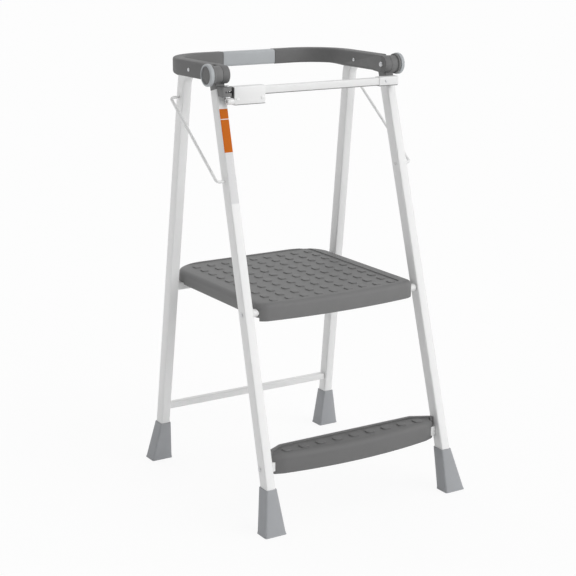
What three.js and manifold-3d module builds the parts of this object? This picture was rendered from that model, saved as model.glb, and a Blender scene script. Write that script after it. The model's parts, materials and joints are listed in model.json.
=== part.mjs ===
// Folding two-step stool with a hinged U-shaped hand rail and a swinging gate bar.
// Millimetres, +Z up, +X to the right seen from the front, +Y towards the back.
// Everything is laid out with y = 0 at the front face of the front legs on the floor; the last
// lines move the whole stool so that its origin is under the middle of its footprint.

import * as THREE from 'three';
import { mergeVertices } from 'three/addons/utils/BufferGeometryUtils.js';
import Module from 'manifold-3d';

const wasm = await Module();
wasm.setup();

// ---------------------------------------------------------------- driving dimensions

const GAP = 0.3; // running and seating gap between neighbouring pieces

// leg tubes
const TUBE_X = 21; // across the stool
const TUBE_Y = 26.5; // front to back, square to the leg
const TUBE_WALL = 1.5;
const TUBE_CORNER = 3;
const FLOOR_HALF_WIDTH = 230; // middle plane to the outer face of a leg at the floor
const LEG_TAPER = 0.0166; // each leg closes in by this much per mm of height
const FRONT_LEAN = 0.277; // front legs lean back by this much per mm of height
const FRONT_TOP = 857; // height of the cut end of the front tubes
const REAR_SPREAD = 507; // rear leg centre line at the floor, from the front legs' front face
const BEND_RADIUS = 30.5; // centre line radius of the rear legs' top bend
const BEND_BACK = 37; // bend corner behind the rear leg pivot

// feet
const FOOT_HEIGHT = 88;
const FOOT_SOLE = 10;
const FOOT_COLLAR = 1.8; // foot wall at its top edge
const FOOT_FLARE_OUT = 19.2; // each side of the sole beyond the tube
const FOOT_FLARE_IN = 9.8;
const FOOT_FLARE_FRONT = 5.6;
const FRONT_FOOT_FLARE_BACK = 3.5;
const REAR_FOOT_FLARE_BACK = 6.5;
const FOOT_CORNER = 4;

// rail hinge on top of the front legs
const HINGE_RISE = 30; // pivot above the tube end
const HINGE_FORWARD = 3.8; // pivot in front of the tube's centre line
const BARREL_R = 18;
const BARREL_SPLIT_IN = 0.8; // joint between the rail's half and the leg's half, inside the leg's centre
const BARREL_REACH = 16.2; // outer end of the barrel, outside the leg's centre
const FLANGE_R = 21.2;
const FLANGE_T = 4.7;
const RING_R = 22.5;
const RING_T = 9;
const CAP_R = 17.6;
const PIN_R = 5;
const NECK_PLUG = 38;
const PAST = 5; // run of a cutting shape past what it cuts

// hand rail
const ARM_WALL_OUT = 1.3; // arm outside the rear leg's pocket
const ARM_WALL_IN = 5.7; // arm inside the rear leg's pocket
const RAIL_RISE = 19; // pivot to the rail's top
const RAIL_REACH = 252.5; // pivot to the rear face of the rail
const RAIL_CORNER = 106;
const BAR_T = 24;
const ARM_DROP = 15.5; // pivot to the underside of an arm
const BAR_DROP = 13; // pivot to the underside of the cross part
const RAIL_EDGE = 5;
const RAIL_WALL = 3;
const POCKET_FORWARD = 52; // rear leg's pocket in the arm, in front of the leg's pivot
const POCKET_BACK = 2.7; // and behind the leg
const GRIP_HALF = 64.5;
const GRIP_INSET = 0.4; // grip surface below the mouldings' surface
const CORE_R = 7.5;
const CORE_DEPTH = 45; // core tube inside each moulding

// rear leg pivot in the rail arms
const LEG_PIVOT_BACK = 102.5;
const LEG_PIVOT_UP = 1;
const RIVET_R = 3.2;
const RIVET_TAIL = 12; // rivet inside the leg, past its wall
const RIVET_HEAD_R = 5;
const RIVET_HEAD_T = 2;

// stays
const STAY_R = 3;
const STAY_LOW = 681; // height of the lower pivot on the front leg
const STAY_HIGH = 827.5; // height of the upper end on the rear leg
const STAY_STANDOFF = 17.5; // wire centre outside the front leg's outer face
const STAY_BEND = 7;

// platform
const DECK_TOP = 444;
const DECK_HEIGHT = 36.5; // depth of the front nosing
const DECK_SIDE_HEIGHT = 29; // depth of the skirt on the other sides
const DECK_NOSING_END = 9; // back of the deep nosing, in front of the pivot tube's axis
const DECK_HALF_WIDTH = 192;
const DECK_NOSE = 17.5; // pivot tube to the front edge at the corners
const DECK_BOW = 13.5; // extra reach of the front edge in the middle
const DECK_OVERHANG = 58; // rear support bar to the rear edge
const DECK_CORNER = 22;
const DECK_CUT_X = 50; // cut-back rear corners
const DECK_CUT_Y = 37;
const DECK_CUT_SOFT = 26; // rounding where a cut corner meets the rear edge
const DECK_EDGE = 11;
const DECK_SKIN = 4;
const FIELD_INSET_X = 29; // sunk tread field from the deck's edges
const FIELD_INSET_FRONT = 10.5;
const FIELD_INSET_REAR = 14;
const FIELD_CORNER = 16;
const FIELD_DEPTH = 1.6;
const STUD_PITCH = 36.2;
const STUD_COLUMNS = 9;
const STUD_ROWS = 10;
const STUD_X = 15; // one raised stud of the treads
const STUD_Y = 17;
const STUD_HEIGHT = 1.8;
const STUD_DRAFT = 2.5;
const STUD_FRONT = 6; // first row of studs behind the pivot tube
const RIB_T = 2.6;
const PIVOT_TUBE_R = 8.3;
const PIVOT_TUBE_Z = 424;
const SUPPORT_H = 17; // rear support bar under the platform
const SUPPORT_D = 15;
const SUPPORT_TOP = 419;
const BAR_NOTCH_FRONT = 9; // room for the support bar in the skirt
const BAR_NOTCH_BACK = 3;

// lower step
const STEP_TOP = 151.6; // tread floor
const STEP_RIM = 2.8; // raised rim along the rear edge
const STEP_RIM_WIDTH = 8;
const STEP_HEIGHT = 43;
const STEP_FRONT = 44; // front edge at the corners
const STEP_BOW = 18;
const STEP_REAR = 86;
const STEP_CHAMFER_X = 42;
const STEP_CHAMFER_Y = 22;
const STEP_CHAMFER_SOFT = 2;
const STEP_CORNER = 18;
const STEP_EDGE = 13;
const STEP_SKIN = 4;
const STEP_STUDS = 9;
const STEP_STUD_PITCH = 40.6;
const STEP_STUD_BACK = 29; // studs in front of the rear edge
const STEP_STUD_X = 20;
const STEP_STUD_Y = 18;
const STEP_SIDE_GAP = 1; // step to the legs on each side
const STEP_BAR_H = 20;
const STEP_BAR_D = 10;
const STEP_BAR_TOP = 134;

// rear crossbar
const CROSS_Z = 126.4;
const CROSS_SIZE = 14.5;

// gate
const GATE_BAR = 15; // square tube
const GATE_WALL = 1.2;
const GATE_Z = 855.5;
const GATE_LEG_GAP = 2.8; // end sleeve to the right front leg
const SLEEVE_WALL = 1.3;
const SLEEVE_LENGTH = 48;
const SLEEVE_WALL_END = 6; // closed end of the sleeve
const SLEEVE_RIVET_AT = 17;
const DOME_R = 3.3;
const DOME_HEIGHT = 1.6;
const BUMPER_IN = 2; // bumper inside the middle of the leg
const SLEEVE_PAST = 3.7; // end of the sleeve outside the right leg's centre
const GATE_PIN_IN = 5.3; // hinge pin inside the left leg's centre
const GATE_PIN_R = 3;
const PIN_HEAD = 2;
const TONGUE_ROOM = 1.2;
const BOSS_LEFT = 2; // boss past the pin
const BLOCK_HEIGHT = 19;
const BLOCK_WRAP = 6; // block round the leg's front corners
const PIN_FORWARD = 2; // pin behind the middle of the bar
const BAR_START = 11; // bar inside the bracket
const SEAT_DROP = 24.5; // bracket rivets below its top
const SEAT_IN = 7;
const BLOCK_LEFT = 14; // pin to the block's left face
const BLOCK_R = 10; // rounded end of the block about the pin
const TONGUE_T = 7;
const TONGUE_R = 7;
const BRACKET_LENGTH = 71;
const BRACKET_HEIGHT = 35.5;
const BRACKET_T = 2;
const BRACKET_CLEAR = 1; // bracket to the block's rounded end
const BOSS_R = 6;
const BOSS_BORE_R = 3.2;
const BUMPER_R = 4.5;

// ---------------------------------------------------------------- materials

const paint = (name, color, roughness, metalness) =>
  Object.assign(new THREE.MeshStandardMaterial({ color, roughness, metalness }), { name });
const MATERIAL = {
  white: () => paint('white_steel', 0xf1f1ef, 0.35, 0.1),
  dark: () => paint('dark_plastic', 0x707173, 0.6, 0),
  light: () => paint('light_grey_plastic', 0xa2a7ac, 0.55, 0),
  foot: () => paint('foot_rubber', 0x9a9fa4, 0.75, 0),
  zinc: () => paint('zinc_steel', 0xc9cbcc, 0.3, 0.9),
};

// ---------------------------------------------------------------- geometry helpers

const V = (x, y, z) => new THREE.Vector3(x, y, z);

function toSolid(geometry) {
  const bare = geometry.clone();
  bare.deleteAttribute('normal');
  bare.deleteAttribute('uv');
  const merged = mergeVertices(bare, 1e-4);
  const index = merged.index.array;
  const triangles = [];
  for (let i = 0; i < index.length; i += 3) {
    const [a, b, c] = [index[i], index[i + 1], index[i + 2]];
    if (a !== b && b !== c && c !== a) triangles.push(a, b, c);
  }
  return new wasm.Manifold(new wasm.Mesh({
    numProp: 3,
    vertProperties: Float32Array.from(merged.attributes.position.array),
    triVerts: Uint32Array.from(triangles),
  }));
}

function toGeometry(solid) {
  const mesh = solid.getMesh();
  const geometry = new THREE.BufferGeometry();
  const points = new Float32Array(mesh.numVert * 3);
  for (let i = 0; i < mesh.numVert; i++) {
    for (let k = 0; k < 3; k++) points[i * 3 + k] = mesh.vertProperties[i * mesh.numProp + k];
  }
  geometry.setAttribute('position', new THREE.BufferAttribute(points, 3));
  geometry.setIndex(new THREE.BufferAttribute(Uint32Array.from(mesh.triVerts), 1));
  geometry.computeVertexNormals();
  return geometry;
}

const joined = (...bodies) => wasm.Manifold.union(bodies);
const cut = (body, ...tools) => tools.reduce((a, b) => a.subtract(b), body);

function mirrored(geometry) {
  const copy = geometry.index ? geometry.toNonIndexed() : geometry.clone();
  copy.scale(-1, 1, 1);
  const p = copy.attributes.position;
  for (let i = 0; i < p.count; i += 3) {
    const [x, y, z] = [p.getX(i + 1), p.getY(i + 1), p.getZ(i + 1)];
    p.setXYZ(i + 1, p.getX(i + 2), p.getY(i + 2), p.getZ(i + 2));
    p.setXYZ(i + 2, x, y, z);
  }
  copy.deleteAttribute('normal');
  const merged = mergeVertices(copy, 1e-5);
  merged.computeVertexNormals();
  return merged;
}

function roundedRect(width, height, radius) {
  const [x, y] = [width / 2, height / 2];
  const r = Math.min(radius, x, y);
  const shape = new THREE.Shape();
  shape.moveTo(x, -y + r);
  shape.lineTo(x, y - r);
  shape.absarc(x - r, y - r, r, 0, Math.PI / 2, false);
  shape.absarc(-x + r, y - r, r, Math.PI / 2, Math.PI, false);
  shape.absarc(-x + r, -y + r, r, Math.PI, Math.PI * 1.5, false);
  shape.absarc(x - r, -y + r, r, Math.PI * 1.5, Math.PI * 2, false);
  return shape;
}

function disc(radius) {
  const shape = new THREE.Shape();
  shape.absarc(0, 0, radius, 0, Math.PI * 2, false);
  return shape;
}

// A section drawn in a plane and carried straight from a to b. Upright runs keep the section's
// first axis along +X; runs along X take the section as (y, z).
function beam(shape, a, b, curveSegments = 2) {
  const axis = b.clone().sub(a);
  const geometry = new THREE.ExtrudeGeometry(shape, {
    depth: axis.length(), bevelEnabled: false, curveSegments,
  });
  const w = axis.normalize();
  const first = Math.abs(w.x) > 0.9 ? V(0, 1, 0) : V(1, 0, 0);
  const u = first.addScaledVector(w, -first.dot(w)).normalize();
  const v = w.clone().cross(u);
  return geometry.applyMatrix4(new THREE.Matrix4().makeBasis(u, v, w).setPosition(a));
}

const beamSolid = (...args) => toSolid(beam(...args));
const rod = (radius, a, b, sides = 8) => beamSolid(disc(radius), a, b, sides);
const box = (x0, x1, y0, y1, z0, z1) =>
  toSolid(new THREE.BoxGeometry(x1 - x0, y1 - y0, z1 - z0)
    .translate((x0 + x1) / 2, (y0 + y1) / 2, (z0 + z1) / 2));

// A closed skin through equal rings of points, each ring anticlockwise about the travel.
function loft(rings) {
  const n = rings[0].length;
  const points = rings.flat().flatMap((p) => [p.x, p.y, p.z]);
  const faces = [];
  for (let i = 0; i + 1 < rings.length; i++) {
    for (let j = 0; j < n; j++) {
      const [a, b] = [i * n + j, i * n + ((j + 1) % n)];
      faces.push(a, b, b + n, a, b + n, a + n);
    }
  }
  const last = (rings.length - 1) * n;
  for (let j = 1; j + 1 < n; j++) faces.push(0, j + 1, j, last, last + j, last + j + 1);
  const geometry = new THREE.BufferGeometry();
  geometry.setAttribute('position', new THREE.BufferAttribute(new Float32Array(points), 3));
  geometry.setIndex(faces);
  return geometry;
}

const sectionPoints = (shape, divisions = 2) => {
  const points = shape.extractPoints(divisions).shape;
  const [a, b] = [points[0], points[points.length - 1]];
  return a.distanceTo(b) < 1e-6 ? points.slice(0, -1) : points;
};

// A turned piece about an axis along X: profile points are (x, radius) and close on themselves
// or run from the axis to the axis.
function turned(profile, y, z, segments = 28) {
  const points = profile.map(([x, r]) => new THREE.Vector2(r, x));
  const geometry = new THREE.LatheGeometry(points, segments);
  const turn = new THREE.Matrix4().makeBasis(V(0, 1, 0), V(1, 0, 0), V(0, 0, -1));
  return geometry.applyMatrix4(turn).translate(0, y, z);
}

// LatheGeometry faces follow the direction of its profile, so the volume's sign settles them.
function turnedSolid(profile, y, z, segments) {
  const geometry = turned(profile, y, z, segments);
  const solid = toSolid(geometry);
  if (solid.volume() > 0) return solid;
  const index = geometry.index.array;
  for (let i = 0; i < index.length; i += 3) [index[i], index[i + 1]] = [index[i + 1], index[i]];
  return toSolid(geometry);
}

// ---------------------------------------------------------------- stool and its two-sided pieces

const stool = new THREE.Group();
stool.name = 'step_stool';

function add(name, solid, material) {
  const geometry = solid.isBufferGeometry ? solid : toGeometry(solid);
  const mesh = new THREE.Mesh(geometry, material());
  mesh.name = name;
  stool.add(mesh);
  return mesh;
}

function addPair(name, rightSolid, material) {
  const geometry = toGeometry(rightSolid);
  add(`${name}_right`, geometry, material);
  add(`${name}_left`, mirrored(geometry), material);
}

// ---------------------------------------------------------------- layout from the dimensions

const legCentreX = (z) => FLOOR_HALF_WIDTH - TUBE_X / 2 - LEG_TAPER * z;
const legInnerX = (z) => legCentreX(z) - TUBE_X / 2;
const legOuterX = (z) => legCentreX(z) + TUBE_X / 2;
const frontSecant = Math.hypot(1, FRONT_LEAN);
const frontDepth = TUBE_Y * frontSecant; // measured level, front to back
const frontY = (z) => FRONT_LEAN * z + frontDepth / 2;
const frontFaceY = (z) => FRONT_LEAN * z;
const front = (z) => V(legCentreX(z), frontY(z), z);

const PIVOT = { y: frontY(FRONT_TOP) - HINGE_FORWARD, z: FRONT_TOP + HINGE_RISE };
const LEG_PIVOT = { y: PIVOT.y + LEG_PIVOT_BACK, z: PIVOT.z + LEG_PIVOT_UP };
const bendCorner = { y: LEG_PIVOT.y + BEND_BACK, z: LEG_PIVOT.z };
const REAR_LEAN = (REAR_SPREAD - bendCorner.y) / bendCorner.z;
const rearY = (z) => REAR_SPREAD - REAR_LEAN * z;
const rear = (z) => V(legCentreX(z), rearY(z), z);
const rearDepth = TUBE_Y * Math.hypot(1, REAR_LEAN);

// ---------------------------------------------------------------- front legs and feet

const tubeOuter = roundedRect(TUBE_X, TUBE_Y, TUBE_CORNER);
const tubeInner = roundedRect(TUBE_X - 2 * TUBE_WALL, TUBE_Y - 2 * TUBE_WALL,
  TUBE_CORNER - TUBE_WALL);
const tubeSleeve = roundedRect(TUBE_X + 2 * GAP, TUBE_Y + 2 * GAP, TUBE_CORNER + GAP);

const stayLow = front(STAY_LOW);
const stayHigh = rear(STAY_HIGH);
const crossHole = (radius, point, from, to) =>
  rod(radius, V(from, point.y, point.z), V(to, point.y, point.z));

const pivotTubeY = frontY(PIVOT_TUBE_Z);
const stepBarZ = STEP_BAR_TOP - STEP_BAR_H / 2;
const stepBarY = STEP_FRONT + STEP_SKIN + 2 * GAP + STEP_BAR_D / 2;
const fixings = [
  { y: pivotTubeY, z: PIVOT_TUBE_Z },
  { y: stepBarY, z: stepBarZ },
];

const frontLeg = cut(
  beamSolid(tubeOuter, front(FOOT_SOLE + GAP), front(FRONT_TOP)),
  beamSolid(tubeInner, front(-FOOT_SOLE), front(FRONT_TOP + FOOT_SOLE), 1),
  crossHole(STAY_R + GAP, stayLow, legInnerX(STAY_LOW) - PAST,
    legOuterX(STAY_LOW) + PAST),
  ...fixings.map((at) => crossHole(RIVET_R + GAP, at, legInnerX(at.z) - PAST,
    legOuterX(at.z) + PAST)),
);
addPair('front_leg', frontLeg, MATERIAL.white);

// A foot is a tapered block, wider at the floor and more so on its outer side, with a deep
// socket for the tube above its sole.
function foot(centre, depth, back) {
  const ring = (z, out, inn, forward, back) => {
    const c = centre(z);
    const [x0, x1] = [c.x - TUBE_X / 2 - inn, c.x + TUBE_X / 2 + out];
    const [y0, y1] = [c.y - depth / 2 - forward, c.y + depth / 2 + back];
    return sectionPoints(roundedRect(x1 - x0, y1 - y0, FOOT_CORNER))
      .map((p) => V((x0 + x1) / 2 + p.x, (y0 + y1) / 2 + p.y, z));
  };
  const collar = FOOT_COLLAR + GAP;
  const edge = 1.5;
  const block = toSolid(loft([
    ring(0, FOOT_FLARE_OUT - edge, FOOT_FLARE_IN - edge, FOOT_FLARE_FRONT - edge, back - edge),
    ring(edge, FOOT_FLARE_OUT, FOOT_FLARE_IN, FOOT_FLARE_FRONT, back),
    ring(FOOT_HEIGHT - edge, collar, collar, collar, collar),
    ring(FOOT_HEIGHT, collar - 0.8, collar - 0.8, collar - 0.8, collar - 0.8),
  ]));
  return cut(block, beamSolid(tubeSleeve, centre(FOOT_SOLE), centre(FOOT_HEIGHT + 30)));
}
addPair('front_foot', foot(front, frontDepth, FRONT_FOOT_FLARE_BACK), MATERIAL.foot);

// ---------------------------------------------------------------- rear legs and feet

// Stations of the rear tube's centre line: up the leg, round the bend and forward to the pivot.
function rearTube(halfX, halfY, corner, from, divisions) {
  const shape = sectionPoints(roundedRect(2 * halfX, 2 * halfY, corner), divisions);
  const lean = Math.atan(REAR_LEAN);
  const turn = Math.PI / 2 - lean;
  const tangent = BEND_RADIUS * Math.tan(turn / 2);
  const up = { y: -Math.sin(lean), z: Math.cos(lean) };
  const start = { y: bendCorner.y - up.y * tangent, z: bendCorner.z - up.z * tangent };
  const hub = { y: start.y - up.z * BEND_RADIUS, z: start.z + up.y * BEND_RADIUS };
  const stations = [{ y: rearY(from), z: from, angle: lean }];
  const steps = 7;
  for (let i = 0; i <= steps; i++) {
    const angle = lean + (turn * i) / steps;
    stations.push({
      y: hub.y + Math.cos(angle) * BEND_RADIUS, z: hub.z + Math.sin(angle) * BEND_RADIUS, angle,
    });
  }
  // round nose about the pivot
  for (const turned of [0, Math.PI / 6, Math.PI / 3, Math.PI * 0.45]) {
    stations.push({
      y: LEG_PIVOT.y - halfY * Math.sin(turned), z: LEG_PIVOT.z, angle: Math.PI / 2,
      shrink: Math.cos(turned),
    });
  }
  return toSolid(loft(stations.map(({ y, z, angle, shrink = 1 }) => shape.map((p) =>
    V(legCentreX(z) + p.x, y + p.y * Math.cos(angle), z + shrink * p.y * Math.sin(angle))))));
}

const rearLeg = cut(
  rearTube(TUBE_X / 2, TUBE_Y / 2, TUBE_CORNER, FOOT_SOLE + GAP, 2),
  rearTube(TUBE_X / 2 - TUBE_WALL, TUBE_Y / 2 - TUBE_WALL, TUBE_CORNER - TUBE_WALL,
    -FOOT_SOLE, 1),
  crossHole(RIVET_R + GAP, LEG_PIVOT, legInnerX(LEG_PIVOT.z) - PAST,
    legOuterX(LEG_PIVOT.z) + PAST),
);
addPair('rear_leg', rearLeg, MATERIAL.white);
addPair('rear_foot', foot(rear, rearDepth, REAR_FOOT_FLARE_BACK), MATERIAL.foot);

// ---------------------------------------------------------------- bars between the legs

function crossTube(width, height, y, z, wall) {
  const reach = legInnerX(z + height / 2) - GAP;
  const run = (shape, half) => beamSolid(shape, V(-half, y, z), V(half, y, z));
  return cut(run(roundedRect(width, height, 2), reach),
    beamSolid(roundedRect(width - 2 * wall, height - 2 * wall, 1), V(-reach - PAST, y, z),
      V(reach + PAST, y, z), 1));
}

add('rear_crossbar', crossTube(CROSS_SIZE, CROSS_SIZE, rearY(CROSS_Z), CROSS_Z, 1.2),
  MATERIAL.white);
const supportZ = SUPPORT_TOP - SUPPORT_H / 2;
const supportY = rearY(supportZ);
add('rear_support_bar', crossTube(SUPPORT_D, SUPPORT_H, supportY, supportZ, 1.2),
  MATERIAL.white);
add('lower_step_bar', crossTube(STEP_BAR_D, STEP_BAR_H, stepBarY, stepBarZ, 1.5),
  MATERIAL.white);
const tubeReach = legInnerX(PIVOT_TUBE_Z + PIVOT_TUBE_R) - GAP;
add('platform_pivot_tube', cut(
  rod(PIVOT_TUBE_R, V(-tubeReach, pivotTubeY, PIVOT_TUBE_Z),
    V(tubeReach, pivotTubeY, PIVOT_TUBE_Z), 10),
  rod(PIVOT_TUBE_R - TUBE_WALL, V(-tubeReach - PAST, pivotTubeY, PIVOT_TUBE_Z),
    V(tubeReach + PAST, pivotTubeY, PIVOT_TUBE_Z), 10),
), MATERIAL.white);

// A rivet through a leg: a domed head on the outer face and a shank that runs into the bar.
function legRivet({ y, z }, depth) {
  const face = legOuterX(z - RIVET_HEAD_R) + GAP;
  return turnedSolid([
    [face - depth, 0], [face - depth, RIVET_R], [face, RIVET_R], [face, RIVET_HEAD_R],
    [face + 1, RIVET_HEAD_R * 0.9], [face + RIVET_HEAD_T, RIVET_HEAD_R * 0.45],
    [face + RIVET_HEAD_T + 0.2, 0],
  ], y, z, 12);
}
addPair('platform_rivet', legRivet(fixings[0], TUBE_X + RIVET_TAIL), MATERIAL.zinc);
addPair('step_rivet', legRivet(fixings[1], TUBE_X + RIVET_TAIL), MATERIAL.zinc);

// ---------------------------------------------------------------- rail hinge

const pocketX = [legInnerX(LEG_PIVOT.z) - 2 * GAP, legOuterX(PIVOT.z - BARREL_R) + 2 * GAP];
const arm = { outer: pocketX[1] + ARM_WALL_OUT, inner: pocketX[0] - ARM_WALL_IN };
arm.thick = arm.outer - arm.inner;
const hingeX = {
  inner: arm.inner,
  split: legCentreX(PIVOT.z) - BARREL_SPLIT_IN,
  outer: legCentreX(PIVOT.z) + BARREL_REACH,
};
const flangeEnd = hingeX.outer + FLANGE_T;
const ringEnd = flangeEnd + GAP + RING_T;
const hingeAxis = (radius, from, to, sides = 14) =>
  rod(radius, V(from, PIVOT.y, PIVOT.z), V(to, PIVOT.y, PIVOT.z), sides);

// The fitting on each front leg: a plug inside the tube, a neck of the tube's own outline and
// the outer half of the hinge barrel, with a flange and a pocket for the pin's nut.
const legEnd = front(FRONT_TOP);
const upLeg = front(FRONT_TOP + 1).sub(legEnd).normalize();
const legPoint = (distance) => legEnd.clone().addScaledVector(upLeg, distance);
const plug = roundedRect(TUBE_X - 2 * TUBE_WALL - 2 * GAP, TUBE_Y - 2 * TUBE_WALL - 2 * GAP,
  TUBE_CORNER - TUBE_WALL);
const hingeFitting = cut(
  joined(
    beamSolid(plug, legPoint(-NECK_PLUG), legPoint(2)),
    beamSolid(tubeOuter, legPoint(GAP), legPoint(HINGE_RISE / 2)),
    hingeAxis(BARREL_R, hingeX.split + GAP / 2, hingeX.outer),
    hingeAxis(FLANGE_R, hingeX.outer - 0.5, flangeEnd),
  ),
  hingeAxis(BARREL_R + GAP, hingeX.inner - PAST, hingeX.split + GAP / 2),
  box(hingeX.inner - PAST, hingeX.split + GAP / 2, PIVOT.y, PIVOT.y + 2 * BARREL_R,
    PIVOT.z - BARREL_R - GAP, PIVOT.z + BARREL_R + PAST),
  hingeAxis(PIN_R + GAP, hingeX.inner - PAST, flangeEnd + PAST, 10),
);
addPair('hinge_fitting', hingeFitting, MATERIAL.dark);

const hingePin = turnedSolid([
  [hingeX.inner - GAP - 2.6, 0], [hingeX.inner - GAP - 2, PIN_R * 0.8],
  [hingeX.inner - GAP - 1, PIN_R + 1.8], [hingeX.inner - GAP, PIN_R + 1.8],
  [hingeX.inner - GAP, PIN_R], [flangeEnd + 2, PIN_R], [flangeEnd + 2, 0],
], PIVOT.y, PIVOT.z, 16);
addPair('hinge_pin', hingePin, MATERIAL.zinc);

const ringBack = flangeEnd + GAP;
const hingeRing = turnedSolid([
  [ringBack, CAP_R + GAP], [ringBack, RING_R - 1.2], [ringBack + 1.2, RING_R],
  [ringEnd - 3, RING_R], [ringEnd - 0.8, RING_R - 1.6], [ringEnd, RING_R - 3.2],
  [ringEnd, CAP_R + 1.2], [ringEnd - 1, CAP_R + GAP], [ringBack, CAP_R + GAP],
], PIVOT.y, PIVOT.z, 24);
addPair('hinge_ring', hingeRing, MATERIAL.light);

const capFace = ringEnd - 1.4;
const hingeCap = cut(turnedSolid([
  [ringBack, 0], [ringBack, CAP_R], [capFace - 1.5, CAP_R], [capFace - 0.4, CAP_R - 0.9],
  [capFace, CAP_R - 2.4], [capFace + 0.3, 0],
], PIVOT.y, PIVOT.z, 24), hingeAxis(PIN_R + 1, ringBack - 1, ringBack + 3, 8));
addPair('hinge_cap', hingeCap, MATERIAL.dark);

// ---------------------------------------------------------------- hand rail

const railTop = PIVOT.z + RAIL_RISE;
const railRear = PIVOT.y + RAIL_REACH;
const armFront = PIVOT.y + BARREL_R + 2.5;
const cornerY = railRear - RAIL_CORNER;
const cornerX = arm.outer - RAIL_CORNER;
const smooth = (t) => THREE.MathUtils.smoothstep(t, 0, 1);

// One half of the rail runs back along the arm, round the corner and in to the grip; its
// outer face is fixed and its thickness and underside ease from the arm to the cross part.
function railHalf(endX) {
  const stations = [];
  const station = (x, y, nx, ny, t) => stations.push({ x, y, nx, ny, t });
  station(arm.outer, armFront, -1, 0, 0);
  station(arm.outer, cornerY - 8, -1, 0, 0);
  const steps = 8;
  for (let i = 0; i <= steps; i++) {
    const a = (Math.PI / 2) * (i / steps);
    station(cornerX + RAIL_CORNER * Math.cos(a), cornerY + RAIL_CORNER * Math.sin(a),
      -Math.cos(a), -Math.sin(a), smooth((i / steps) * 2.5));
  }
  station(endX, railRear, 0, -1, 1);
  return stations.map(({ x, y, nx, ny, t }) => {
    const thick = THREE.MathUtils.lerp(arm.thick, BAR_T, t);
    const low = PIVOT.z - THREE.MathUtils.lerp(ARM_DROP, BAR_DROP, t);
    const section = sectionPoints(roundedRect(thick, railTop - low, RAIL_EDGE));
    return section.map((p) => {
      const inward = thick / 2 + p.x;
      return V(x + nx * inward, y + ny * inward, (low + railTop) / 2 + p.y);
    });
  });
}

const railStart = GRIP_HALF + GAP;
const coreY = railRear - BAR_T / 2;
const coreZ = (railTop + PIVOT.z - BAR_DROP) / 2;
const core = (radius, half, sides = 8) =>
  rod(radius, V(-half, coreY, coreZ), V(half, coreY, coreZ), sides);

// The arm's front end closes on the hinge as a flat lug with a round nose about the pin.
const lug = new THREE.Shape();
lug.moveTo(armFront - PIVOT.y + 8, railTop - PIVOT.z);
lug.lineTo(0, BARREL_R);
lug.absarc(0, 0, BARREL_R, Math.PI / 2, Math.PI * 1.5, false);
lug.lineTo(armFront - PIVOT.y + 8, -ARM_DROP);
const lugSolid = beamSolid(lug, V(hingeX.inner, PIVOT.y, PIVOT.z),
  V(hingeX.split - GAP / 2, PIVOT.y, PIVOT.z), 10);

const pocketRoof = railTop - RAIL_WALL;
const railHalfSolid = cut(
  joined(toSolid(loft(railHalf(railStart))), lugSolid),
  box(pocketX[0], pocketX[1], LEG_PIVOT.y - POCKET_FORWARD,
    bendCorner.y + TUBE_Y / 2 + POCKET_BACK, PIVOT.z - ARM_DROP - PAST, pocketRoof),
  hingeAxis(PIN_R + GAP, hingeX.inner - PAST, hingeX.split + PAST, 10),
  crossHole(RIVET_R + GAP, LEG_PIVOT, arm.inner - PAST, arm.outer + PAST),
  core(CORE_R + GAP, GRIP_HALF + CORE_DEPTH + GAP),
);
addPair('rail', railHalfSolid, MATERIAL.dark);

const gripSection = roundedRect(BAR_T - 2 * GRIP_INSET,
  railTop - PIVOT.z + BAR_DROP - 2 * GRIP_INSET, RAIL_EDGE);
add('rail_grip', cut(
  beamSolid(gripSection, V(-GRIP_HALF, coreY, coreZ), V(GRIP_HALF, coreY, coreZ), 4),
  core(CORE_R + GAP, GRIP_HALF + PAST),
), MATERIAL.light);
add('rail_core', cut(core(CORE_R, GRIP_HALF + CORE_DEPTH),
  core(CORE_R - TUBE_WALL, GRIP_HALF + CORE_DEPTH + PAST)), MATERIAL.zinc);

// The rivet that carries a rear leg: through both walls of the arm and the leg between them.
const rivetIn = arm.inner - GAP;
const rivetOut = arm.outer + GAP;
addPair('leg_rivet', turnedSolid([
  [rivetIn - RIVET_HEAD_T, 0], [rivetIn - RIVET_HEAD_T, RIVET_HEAD_R * 0.5],
  [rivetIn - 1, RIVET_HEAD_R * 0.9], [rivetIn, RIVET_HEAD_R], [rivetIn, RIVET_R],
  [rivetOut, RIVET_R], [rivetOut, RIVET_HEAD_R], [rivetOut + 1, RIVET_HEAD_R * 0.9],
  [rivetOut + RIVET_HEAD_T, RIVET_HEAD_R * 0.5], [rivetOut + RIVET_HEAD_T, 0],
], LEG_PIVOT.y, LEG_PIVOT.z, 12), MATERIAL.zinc);

// ---------------------------------------------------------------- stays

// A bent wire: through the front leg, out past the hinge line, straight up to the rear leg and
// in again. Its upper end stops just short of the rear leg's outer face.
const stayX = legOuterX(STAY_LOW) + STAY_STANDOFF;
function stayPath() {
  const corners = [
    V(legInnerX(STAY_LOW) - 3, stayLow.y, stayLow.z),
    V(stayX, stayLow.y, stayLow.z),
    V(stayX, stayHigh.y, stayHigh.z),
    V(legOuterX(STAY_HIGH - STAY_R) + GAP, stayHigh.y, stayHigh.z),
  ];
  const path = [corners[0]];
  for (let i = 1; i < 3; i++) {
    const back = corners[i - 1].clone().sub(corners[i]).normalize();
    const on = corners[i + 1].clone().sub(corners[i]).normalize();
    for (let k = 0; k <= 4; k++) {
      const t = k / 4;
      const a = corners[i].clone().addScaledVector(back, STAY_BEND * (1 - t));
      const b = corners[i].clone().addScaledVector(on, STAY_BEND * t);
      path.push(a.lerp(b, t));
    }
  }
  return [...path, corners[3]];
}
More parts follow.
